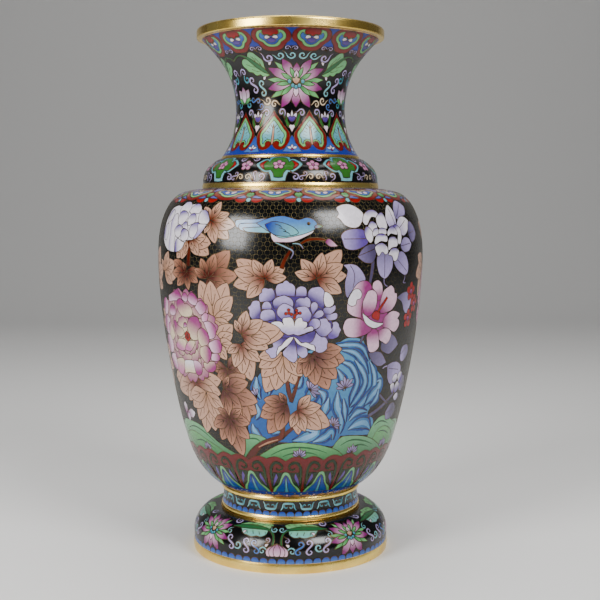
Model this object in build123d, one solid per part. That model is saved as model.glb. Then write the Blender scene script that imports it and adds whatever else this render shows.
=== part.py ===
"""Cloisonne vase: raised copper sections joined under gilt rings, enamelled outside and in.

Millimetres, +Z up. The origin is the centre of the circle that the base ring stands on.
Every piece is turned about the Z axis, so each is drawn as a half section of (radius, height).
"""

import os

from build123d import *

# Sheet, coats and fits
COPPER = 1.2  # thickness of the raised copper sheet
ENAMEL = 1.0  # outside enamel, ground level with its wires
LINING = 0.4  # thin enamel on the inside, which balances the outside coat
WIRE = 0.4  # width of the border wires, which stand on edge in the enamel
SOLDER_GAP = 0.05  # radial room left for solder between two brazed pieces
SPIGOT = 3.0  # how far one section's sleeve reaches past the sheet that it enters
RING_PROUD = 0.7  # how far a gilt ring stands out from the enamel beside it
RING_CROWN = 0.7  # how far a ring's rounded face bulges at its middle

# Heights, from the table up
BASE_RING_HEIGHT = 8.2
FOOT_HEIGHT = 28.9
STEM_RING_HEIGHT = 4.4
STEM_HEIGHT = 13.1
WAIST_RING_HEIGHT = 4.1
BODY_HEIGHT = 262.8
COLLAR_RING_HEIGHT = 4.6
COLLAR_HEIGHT = 21.8
NECK_RING_HEIGHT = 2.0
NECK_HEIGHT = 101.6
LIP_RING_HEIGHT = 8.5

# Foot: a low dome
FOOT_BASE_RADIUS = 87.3
FOOT_BELLY_RADIUS = 87.0
FOOT_BELLY_RISE = 12.2  # above the base ring
FOOT_SHOULDER_RADIUS = 81.4
FOOT_SHOULDER_DROP = 6.4  # below the foot's top
FOOT_CROWN_SHARE = 0.5  # of the way out from the stem ring to the foot's shoulder
FOOT_CROWN_DROP = 0.5
# Stem: a short, slightly waisted drum
STEM_BASE_RADIUS = 61.8
STEM_WAIST_RADIUS = 60.5
STEM_TOP_RADIUS = 60.6
# Body: heights are above the waist ring, drops are below the body's top
BODY_BASE_RADIUS = 61.8
FLARE_RADIUS = 83.9
FLARE_RISE = 22.0
HIP_RADIUS = 94.7
HIP_RISE = 50.0
FLANK_RADIUS = 105.9
FLANK_RISE = 100.0
CHEST_RADIUS = 114.3
CHEST_RISE = 155.0
BELLY_RADIUS = 117.4
BELLY_RISE = 200.0
SHOULDER_RADIUS = 114.8
SHOULDER_DROP = 32.0
SHOULDER_TURN_RADIUS = 107.6
SHOULDER_TURN_DROP = 14.0
SHOULDER_TOP_RADIUS = 98.6
SHOULDER_TOP_DROP = 4.6
CROWN_SHARE = 0.58  # of the way out from the collar ring to the shoulder's top
CROWN_DROP = 1.6
SEAM_RISE = 150.0  # height of the brazed seam between the body's two halves
SEAM_LAP = 6.0
FLANGE_TURN = 3.0  # length of the turned-down edge that locates the body in the stem
# Collar: a rounded step under the neck
COLLAR_BASE_RADIUS = 77.4
COLLAR_SIDE_RADIUS = 75.2
COLLAR_SIDE_DROP = 11.0  # below the collar's top
COLLAR_TURN_SHARE = 0.48  # of the way out from the neck ring to the collar's side
COLLAR_TURN_DROP = 3.4
# Neck: concave, flaring to the lip
NECK_BASE_RADIUS = 60.3
NECK_FLANK_RADIUS = 51.5
NECK_FLANK_RISE = 17.3  # above the neck ring
NECK_WAIST_RADIUS = 48.1
NECK_WAIST_RISE = 36.5
NECK_FLARE_RADIUS = 54.6
NECK_FLARE_DROP = 30.0  # below the lip ring
NECK_TOP_RADIUS = 77.6
# Lip ring: a heavy gilt band folded over the neck's edge
LIP_RADIUS = 82.2
LIP_BORE_RADIUS = 73.0
LIP_ROUNDING = 2.4
LIP_GROOVE_DEPTH = 3.6
# Base ring and the plate that closes the underside
BASE_LEDGE_HEIGHT = 3.4
BASE_FLANGE_WIDTH = 7.0
PLATE_RECESS = 1.0  # the plate's enamel stays this far above the table
PLATE_LAND = 4.0  # how far the plate reaches over the flange

# Room past each end of a section's curve, which the trimming bands cut off
RUN_OUT = 14.0
FAR = 400.0
INSET_STEPS = 28  # points that carry a section's curve inwards by a coat's depth

# Levels
BASE_RING_TOP = BASE_RING_HEIGHT
FOOT_TOP = BASE_RING_TOP + FOOT_HEIGHT
STEM_RING_TOP = FOOT_TOP + STEM_RING_HEIGHT
STEM_TOP = STEM_RING_TOP + STEM_HEIGHT
WAIST_RING_TOP = STEM_TOP + WAIST_RING_HEIGHT
BODY_TOP = WAIST_RING_TOP + BODY_HEIGHT
COLLAR_RING_TOP = BODY_TOP + COLLAR_RING_HEIGHT
COLLAR_TOP = COLLAR_RING_TOP + COLLAR_HEIGHT
NECK_RING_TOP = COLLAR_TOP + NECK_RING_HEIGHT
NECK_TOP = NECK_RING_TOP + NECK_HEIGHT
LIP_TOP = NECK_TOP + LIP_RING_HEIGHT
SEAM = WAIST_RING_TOP + SEAM_RISE

# Ring radii follow the enamel that they border
BASE_RING_RADIUS = FOOT_BASE_RADIUS + RING_PROUD
STEM_RING_RADIUS = STEM_BASE_RADIUS + RING_PROUD
WAIST_RING_RADIUS = max(BODY_BASE_RADIUS, STEM_TOP_RADIUS) + RING_PROUD
COLLAR_RING_RADIUS = COLLAR_BASE_RADIUS + RING_PROUD
NECK_RING_RADIUS = NECK_BASE_RADIUS + RING_PROUD

# The flat crowns keep their place between a ring and the edge outside it
FOOT_CROWN_RADIUS = STEM_RING_RADIUS + FOOT_CROWN_SHARE * (FOOT_SHOULDER_RADIUS - STEM_RING_RADIUS)
CROWN_RADIUS = COLLAR_RING_RADIUS + CROWN_SHARE * (SHOULDER_TOP_RADIUS - COLLAR_RING_RADIUS)
COLLAR_TURN_RADIUS = NECK_RING_RADIUS + COLLAR_TURN_SHARE * (COLLAR_SIDE_RADIUS - NECK_RING_RADIUS)

UP = (0, 1)
INWARD = (-1, 0)

# Each section's outside: its points from the bottom up, then its direction at each end
FOOT = (
    [
        (FOOT_BASE_RADIUS, BASE_RING_TOP),
        (FOOT_BELLY_RADIUS, BASE_RING_TOP + FOOT_BELLY_RISE),
        (FOOT_SHOULDER_RADIUS, FOOT_TOP - FOOT_SHOULDER_DROP),
        (FOOT_CROWN_RADIUS, FOOT_TOP - FOOT_CROWN_DROP),
        (STEM_RING_RADIUS, FOOT_TOP),
    ],
    UP,
    INWARD,
)
STEM = (
    [
        (STEM_BASE_RADIUS, STEM_RING_TOP),
        (STEM_WAIST_RADIUS, STEM_RING_TOP + STEM_HEIGHT * 0.6),
        (STEM_TOP_RADIUS, STEM_TOP),
    ],
    (-0.2, 1),
    (0.05, 1),
)
BODY = (
    [
        (BODY_BASE_RADIUS, WAIST_RING_TOP),
        (FLARE_RADIUS, WAIST_RING_TOP + FLARE_RISE),
        (HIP_RADIUS, WAIST_RING_TOP + HIP_RISE),
        (FLANK_RADIUS, WAIST_RING_TOP + FLANK_RISE),
        (CHEST_RADIUS, WAIST_RING_TOP + CHEST_RISE),
        (BELLY_RADIUS, WAIST_RING_TOP + BELLY_RISE),
        (SHOULDER_RADIUS, BODY_TOP - SHOULDER_DROP),
        (SHOULDER_TURN_RADIUS, BODY_TOP - SHOULDER_TURN_DROP),
        (SHOULDER_TOP_RADIUS, BODY_TOP - SHOULDER_TOP_DROP),
        (CROWN_RADIUS, BODY_TOP - CROWN_DROP),
        (COLLAR_RING_RADIUS, BODY_TOP),
    ],
    (1, 0.5),
    INWARD,
)
COLLAR = (
    [
        (COLLAR_BASE_RADIUS, COLLAR_RING_TOP),
        (COLLAR_SIDE_RADIUS, COLLAR_TOP - COLLAR_SIDE_DROP),
        (COLLAR_TURN_RADIUS, COLLAR_TOP - COLLAR_TURN_DROP),
        (NECK_RING_RADIUS, COLLAR_TOP),
    ],
    UP,
    INWARD,
)
NECK = (
    [
        (NECK_BASE_RADIUS, NECK_RING_TOP),
        (NECK_FLANK_RADIUS, NECK_RING_TOP + NECK_FLANK_RISE),
        (NECK_WAIST_RADIUS, NECK_RING_TOP + NECK_WAIST_RISE),
        (NECK_FLARE_RADIUS, NECK_TOP - NECK_FLARE_DROP),
        (NECK_TOP_RADIUS, NECK_TOP),
    ],
    (-0.7, 1),
    (1, 1),
)


def smooth(points, start, end):
    """A curve through the points, leaving and arriving in the two directions without a bulge."""
    ends = [Vector(*start).normalized(), Vector(*end).normalized()]
    return Spline(*points, tangents=ends, tangent_scalars=[1, 1])


def surface(section, depth):
    """The section's curve, moved in from the outside by depth."""
    points, start, end = section
    outside = smooth(points, start, end)
    if depth == 0:
        return outside
    moved = []
    for step in range(INSET_STEPS + 1):
        share = step / INSET_STEPS
        along = outside % share
        moved.append(outside @ share + Vector(-along.Y, along.X) * depth)
    return smooth(moved, start, end)


def core(section, depth):
    """All that lies inside the section's surface at depth, run straight on past both ends."""
    curve = surface(section, depth)
    low, high = curve @ 0, curve @ 1
    flat_top = section[2] == INWARD
    top = high + (Vector(-RUN_OUT, 0) if flat_top else Vector(0, RUN_OUT))
    bottom = low - Vector(0, RUN_OUT)
    outline = [
        Line(bottom, low),
        curve,
        Line(high, top),
        Polyline(top, (0, top.Y), (0, bottom.Y), bottom),
    ]
    return make_face(outline)


def band(low, high, inner=0.0, outer=FAR):
    """A rectangle of the half section, from radius inner to outer and from height low to high."""
    return Pos((inner + outer) / 2, (low + high) / 2) * Rectangle(outer - inner, high - low)


def coat(section, outer_depth, inner_depth, low, high, inner=0.0):
    """The layer of a section between two depths, trimmed to a band."""
    return (core(section, outer_depth) - core(section, inner_depth)) & band(low, high, inner)


def turned(half_section):
    """The solid that a half section sweeps about the Z axis."""
    return revolve(Plane.XZ * half_section, axis=Axis.Z)


def wall_radius(section, depth, top=False):
    """Radius of a section's straight sleeve at depth, below its lower end or above its upper."""
    return (surface(section, depth) @ (1 if top else 0)).X


def crowned(low, high, inner, outer):
    """Half section of a ring with a rounded outer face."""
    middle = (low + high) / 2
    flat = outer - RING_CROWN
    face = ThreePointArc((flat, low), (outer, middle), (flat, high))
    return make_face([face, Polyline((flat, high), (inner, high), (inner, low), (flat, low))])


def lip_ring():
    """Rounded gilt band with a groove underneath for the neck's upper edge."""
    block = band(NECK_TOP, LIP_TOP, LIP_BORE_RADIUS, LIP_RADIUS)
    block = fillet(block.vertices().group_by(Axis.Y)[-1], LIP_ROUNDING)
    lower_outer = block.vertices().group_by(Axis.Y)[0].sort_by(Axis.X)[-1]
    block = fillet(lower_outer, LIP_ROUNDING / 2)
    sheet = (ENAMEL - SOLDER_GAP, ENAMEL + COPPER + SOLDER_GAP)
    return turned(block - coat(NECK, *sheet, NECK_TOP, NECK_TOP + LIP_GROOVE_DEPTH))


def neck_ring():
    """Thin gilt ring round the foot of the neck, seated on the collar's sheet."""
    inner = wall_radius(NECK, ENAMEL) + SOLDER_GAP
    return turned(crowned(COLLAR_TOP - ENAMEL, NECK_RING_TOP, inner, NECK_RING_RADIUS))


def collar_ring():
    """Gilt ring round the foot of the collar, seated on the shoulder's sheet."""
    inner = wall_radius(COLLAR, ENAMEL) + SOLDER_GAP
    return turned(crowned(BODY_TOP - ENAMEL, COLLAR_RING_TOP, inner, COLLAR_RING_RADIUS))


def waist_ring():
    """Gilt ring sleeved on the stem's upper edge, under the body."""
    inner = wall_radius(STEM, ENAMEL, top=True) + SOLDER_GAP
    return turned(crowned(STEM_TOP, WAIST_RING_TOP, inner, WAIST_RING_RADIUS))


def stem_ring():
    """Gilt ring round the foot of the stem, seated on the foot's sheet."""
    inner = wall_radius(STEM, ENAMEL) + SOLDER_GAP
    return turned(crowned(FOOT_TOP - ENAMEL, STEM_RING_TOP, inner, STEM_RING_RADIUS))


def base_ring():
    """Gilt ring that the vase stands on: a ledge for the foot's wall and a seat for the plate."""
    wall = wall_radius(FOOT, ENAMEL) + SOLDER_GAP
    flange = wall - COPPER - BASE_FLANGE_WIDTH
    plate = flange + PLATE_LAND + SOLDER_GAP
    ring = crowned(0, BASE_RING_TOP, flange, BASE_RING_RADIUS)
    ring -= band(BASE_LEDGE_HEIGHT, BASE_RING_TOP, 0, wall)
    ring -= band(0, PLATE_RECESS + COPPER, 0, plate)
    return turned(ring)


def base_plate():
    """Copper disc brazed under the base ring's flange."""
    radius = wall_radius(FOOT, ENAMEL) - COPPER - BASE_FLANGE_WIDTH + PLATE_LAND
    return turned(band(PLATE_RECESS, PLATE_RECESS + COPPER, 0, radius))


def base_enamel():
    """Thin enamel on the plate's underside."""
    radius = wall_radius(FOOT, ENAMEL) - COPPER - BASE_FLANGE_WIDTH + PLATE_LAND
    return turned(band(PLATE_RECESS - LINING, PLATE_RECESS, 0, radius))


def foot_shell():
    """Domed foot, standing on the base ring's ledge and bored for the stem's sleeve."""
    bore = wall_radius(STEM, ENAMEL) + SOLDER_GAP
    low = BASE_LEDGE_HEIGHT
    return turned(coat(FOOT, ENAMEL, ENAMEL + COPPER, low, FOOT_TOP, bore))


def stem_shell():
    """Drum between foot and body. Its lower edge is a sleeve through the foot's top."""
    low = FOOT_TOP - ENAMEL - COPPER - SPIGOT
    return turned(coat(STEM, ENAMEL, ENAMEL + COPPER, low, WAIST_RING_TOP))


def lower_body_shell():
    """Lower half of the body, turned in at the bottom to a flange that drops into the stem."""
    high = SEAM + SEAM_LAP
    wall = coat(BODY, ENAMEL, ENAMEL + COPPER, WAIST_RING_TOP, high)
    wall -= coat(BODY, 0, ENAMEL + COPPER / 2 + SOLDER_GAP / 2, SEAM, high)
    turn_outer = wall_radius(STEM, ENAMEL + COPPER, top=True) - SOLDER_GAP
    turn_inner = turn_outer - COPPER
    flange_outer = wall_radius(BODY, ENAMEL + COPPER) + COPPER / 4
    flange = band(WAIST_RING_TOP, WAIST_RING_TOP + COPPER, turn_inner, flange_outer)
    turn = band(WAIST_RING_TOP - FLANGE_TURN, WAIST_RING_TOP, turn_inner, turn_outer)
    return turned(wall) + turned(flange) + turned(turn)


def upper_body_shell():
    """Upper half of the body, lapped over the lower half and bored for the collar's sleeve."""
    bore = wall_radius(COLLAR, ENAMEL) + SOLDER_GAP
    lap_top = SEAM + SEAM_LAP + SOLDER_GAP
    wall = coat(BODY, ENAMEL, ENAMEL + COPPER, SEAM, BODY_TOP)
    wall -= core(BODY, ENAMEL + COPPER / 2 - SOLDER_GAP / 2) & band(SEAM, lap_top)
    return turned(wall - band(SEAM, BODY_TOP, 0, bore))


def floor_radius():
    """The body's floor fills the wall with room for solder."""
    return wall_radius(BODY, ENAMEL + COPPER) - SOLDER_GAP


def body_floor():
    """Copper disc that closes the body, brazed on its flange."""
    low = WAIST_RING_TOP + COPPER
    return turned(band(low, low + COPPER, 0, floor_radius()))


def floor_lining():
    """Thin enamel on the floor."""
    low = WAIST_RING_TOP + 2 * COPPER
    return turned(band(low, low + LINING, 0, floor_radius() - LINING))


def collar_shell():
    """Rounded collar with a sleeve through the shoulder, bored for the neck's sleeve."""
    bore = wall_radius(NECK, ENAMEL) + SOLDER_GAP
    low = BODY_TOP - ENAMEL - COPPER - SPIGOT
    return turned(coat(COLLAR, ENAMEL, ENAMEL + COPPER, low, COLLAR_TOP, bore))


def neck_shell():
    """Flaring neck: a sleeve through the collar below, an upright edge in the lip ring above."""
    low = COLLAR_TOP - ENAMEL - COPPER - SPIGOT
    high = NECK_TOP + LIP_GROOVE_DEPTH - SOLDER_GAP
    return turned(coat(NECK, ENAMEL, ENAMEL + COPPER, low, high))


def lining(section, low, high, inner=0.0):
    """Thin enamel on a section's inside."""
    return turned(coat(section, ENAMEL + COPPER, ENAMEL + COPPER + LINING, low, high, inner))


def body_lining():
    """Thin enamel on the body's inside, from the floor to the collar's sleeve."""
    coated = coat(BODY, ENAMEL + COPPER, ENAMEL + COPPER + LINING, LINING_FLOOR, BODY_TOP)
    return turned(coated - band(SEAM, BODY_TOP, 0, COLLAR_SLEEVE))


def enamel(section, low, high, ring_radius=0.0):
    """A section's outside enamel, between its two border wires."""
    if not ring_radius:
        return turned(coat(section, 0, ENAMEL, low + WIRE, high - WIRE))
    ring_seat = band((low + high) / 2, high, 0, ring_radius + WIRE)
    return turned(coat(section, 0, ENAMEL, low + WIRE, high) - ring_seat)


def border_wires(section, low, high, ring_radius=0.0):
    """The two wires that end a section's enamel, each beside a gilt ring."""
    lower = coat(section, 0, ENAMEL, low, low + WIRE)
    if ring_radius:
        middle = (low + high) / 2
        around = band(middle, high, ring_radius, ring_radius + WIRE)
        upper = (core(section, 0) - core(section, ENAMEL)) & around
    else:
        upper = coat(section, 0, ENAMEL, high - WIRE, high)
    return Compound([turned(lower), turned(upper)])


NECK_SLEEVE = wall_radius(NECK, ENAMEL) + SOLDER_GAP
COLLAR_SLEEVE = wall_radius(COLLAR, ENAMEL) + SOLDER_GAP
LINING_FLOOR = WAIST_RING_TOP + 2 * COPPER

PIECES = {
    "lip_ring": lip_ring(),
    "neck_ring": neck_ring(),
    "collar_ring": collar_ring(),
    "waist_ring": waist_ring(),
    "stem_ring": stem_ring(),
    "base_ring": base_ring(),
    "base_plate": base_plate(),
    "base_enamel": base_enamel(),
    "foot_shell": foot_shell(),
    "stem_shell": stem_shell(),
    "lower_body_shell": lower_body_shell(),
    "upper_body_shell": upper_body_shell(),
    "body_floor": body_floor(),
    "collar_shell": collar_shell(),
    "neck_shell": neck_shell(),
    "floor_lining": floor_lining(),
    "body_lining": body_lining(),
    "collar_lining": lining(COLLAR, COLLAR_RING_TOP, COLLAR_TOP, NECK_SLEEVE),
    "neck_lining": lining(NECK, COLLAR_TOP - ENAMEL - COPPER - SPIGOT, NECK_TOP),
    "foot_enamel": enamel(FOOT, BASE_RING_TOP, FOOT_TOP, STEM_RING_RADIUS),
    "stem_enamel": enamel(STEM, STEM_RING_TOP, STEM_TOP),
    "body_enamel": enamel(BODY, WAIST_RING_TOP, BODY_TOP, COLLAR_RING_RADIUS),
    "collar_enamel": enamel(COLLAR, COLLAR_RING_TOP, COLLAR_TOP, NECK_RING_RADIUS),
    "neck_enamel": enamel(NECK, NECK_RING_TOP, NECK_TOP),
    "foot_border_wires": border_wires(FOOT, BASE_RING_TOP, FOOT_TOP, STEM_RING_RADIUS),
    "stem_border_wires": border_wires(STEM, STEM_RING_TOP, STEM_TOP),
    "body_border_wires": border_wires(BODY, WAIST_RING_TOP, BODY_TOP, COLLAR_RING_RADIUS),
    "collar_border_wires": border_wires(COLLAR, COLLAR_RING_TOP, COLLAR_TOP, NECK_RING_RADIUS),
    "neck_border_wires": border_wires(NECK, NECK_RING_TOP, NECK_TOP),
}

os.makedirs("parts", exist_ok=True)
for name, piece in PIECES.items():
    piece.label = name
    export_step(piece, f"parts/{name}.step")
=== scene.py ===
# Cloisonne vase: enamelled copper sections between gilt rings. Each coat of enamel is cut
# into its cells on a flat drawing, wrapped round the section, and a brass wire stands on
# every line where two cells meet.
import math
import random

import bpy
import numpy as np
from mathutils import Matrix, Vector
from mathutils.geometry import delaunay_2d_cdt


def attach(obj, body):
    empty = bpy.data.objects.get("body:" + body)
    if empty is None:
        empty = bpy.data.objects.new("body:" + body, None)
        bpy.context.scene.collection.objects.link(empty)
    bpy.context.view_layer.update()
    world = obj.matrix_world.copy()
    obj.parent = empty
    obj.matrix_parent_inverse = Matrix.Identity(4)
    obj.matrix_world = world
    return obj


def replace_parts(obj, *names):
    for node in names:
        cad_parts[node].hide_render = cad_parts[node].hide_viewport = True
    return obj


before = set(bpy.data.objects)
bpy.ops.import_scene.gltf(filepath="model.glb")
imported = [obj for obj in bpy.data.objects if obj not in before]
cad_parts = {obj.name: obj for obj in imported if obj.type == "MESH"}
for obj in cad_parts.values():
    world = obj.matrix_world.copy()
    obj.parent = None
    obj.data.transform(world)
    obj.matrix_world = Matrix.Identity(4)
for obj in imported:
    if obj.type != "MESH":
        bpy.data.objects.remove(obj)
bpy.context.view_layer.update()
print("frame loaded:", len(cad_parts), "nodes")

# Enamel colours as red, green, blue out of 255
enamelColours = {
    "black": (9, 9, 11),
    "white": (238, 232, 240),
    "cream": (236, 218, 190),
    "brick": (150, 40, 34),
    "red": (196, 30, 28),
    "darkRed": (120, 22, 26),
    "royal": (54, 78, 182),
    "deepBlue": (30, 52, 140),
    "sky": (98, 150, 222),
    "azure": (50, 116, 186),
    "glacier": (106, 174, 214),
    "moss": (74, 140, 62),
    "paleBlue": (160, 200, 236),
    "turquoise": (92, 182, 200),
    "aqua": (150, 214, 220),
    "mint": (140, 212, 142),
    "leaf": (66, 132, 84),
    "paleLeaf": (138, 200, 150),
    "darkGreen": (24, 70, 36),
    "salmon": (212, 160, 134),
    "paleSalmon": (222, 180, 156),
    "brown": (134, 60, 30),
    "umber": (108, 40, 18),
    "tan": (202, 156, 126),
    "rose": (182, 70, 150),
    "darkLeaf": (40, 104, 60),
    "mauve": (158, 146, 188),
    "greyLilac": (112, 102, 136),
    "purple": (92, 62, 150),
    "violet": (130, 104, 188),
    "lilac": (196, 182, 228),
    "magenta": (168, 64, 146),
    "pink": (222, 140, 190),
    "palePink": (240, 204, 224),
}


def enamel(name):
    # the named colour as the shader takes it, strong colours a little deeper
    tone = (np.array(enamelColours[name]) / 255) ** 2.75
    return tone * (0.56 + 0.32 * tone.min())


def eased(start, end, leave, arrive, t):
    # the cubic from start to end with the tangents leave and arrive
    return (
        start * (1 + 2 * t) * (1 - t) ** 2
        + leave * t * (1 - t) ** 2
        + end * t * t * (3 - 2 * t)
        + arrive * t * t * (t - 1)
    )


def unit(rows):
    return rows / np.maximum(np.linalg.norm(rows, axis=1, keepdims=True), 1e-15)


def outline(points, closed=True, step=1.3):
    # a curve through the points; a point with a third value is a corner
    spots = [Vector(p[:2]) for p in points]
    corner = [len(p) > 2 for p in points]
    count = len(spots)
    curve = []
    for i in range(count if closed else count - 1):
        j = (i + 1) % count
        chord = spots[j] - spots[i]
        freeStart = corner[i] or (not closed and i == 0)
        freeEnd = corner[j] or (not closed and j == count - 1)
        leave = None if freeStart else (spots[j] - spots[i - 1]) / 2
        arrive = None if freeEnd else (spots[(j + 1) % count] - spots[i]) / 2
        if leave is None:
            leave = chord if arrive is None else chord * 1.5 - arrive / 2
        if arrive is None:
            arrive = chord * 1.5 - leave / 2
        for tangent in (leave, arrive):
            if tangent.length > chord.length * 1.3:
                tangent *= chord.length * 1.3 / tangent.length
        straight = freeStart and freeEnd
        steps = 1 if straight else max(2, round(chord.length / step))
        curve += [eased(spots[i], spots[j], leave, arrive, k / steps) for k in range(steps)]
    if not closed:
        curve.append(spots[-1])
    return np.array([tuple(c) for c in curve])


def stroke(points, widths, step=1.3):
    # a band along a curve, whose width runs evenly through the widths given
    line = outline(points, False, step)
    way = unit(np.gradient(line, axis=0))
    side = np.stack([-way[:, 1], way[:, 0]], axis=1)
    run = np.linspace(0, len(widths) - 1, len(line))
    half = np.interp(run, range(len(widths)), widths)[:, None] / 2
    return np.concatenate([line + side * half, (line - side * half)[::-1]])


def moved(points, at, turn=0.0, size=1.0, flip=1):
    # a shape or point drawn about the origin, put in its place; turn is clockwise in degrees
    a = math.radians(turn)
    p = np.atleast_2d(np.array(points, float))[:, :2] * (size * flip, size)
    turned = np.stack(
        [p[:, 0] * math.cos(a) + p[:, 1] * math.sin(a), p[:, 1] * math.cos(a) - p[:, 0] * math.sin(a)],
        axis=1,
    )
    return turned + np.array(at)


def within(points, shape):
    # which points lie inside a closed shape
    x, y = points[:, 0][:, None], points[:, 1][:, None]
    ax, ay = shape[:, 0], shape[:, 1]
    bx, by = np.roll(ax, -1), np.roll(ay, -1)
    rise = np.where(by == ay, 1e-12, by - ay)
    crossed = ((ay > y) != (by > y)) & (x < (bx - ax) * (y - ay) / rise + ax)
    return np.sum(crossed, axis=1) % 2 == 1


coats = {
    "spacing": 3.4,  # between the points that fill a plain area, millimetres
    "depth": 0.06,  # the drawn outside lies this far inside the wires' crest
    "insideDepth": 0.9,
    "insideColumns": 96,
    "insideRow": 6,
    "wireWidth": 0.84,
    "veinWidth": 0.70,
    "sink": 0.085,  # how far a wire's edges lie below its crest
    "bodyParts": 4,
}


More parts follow.
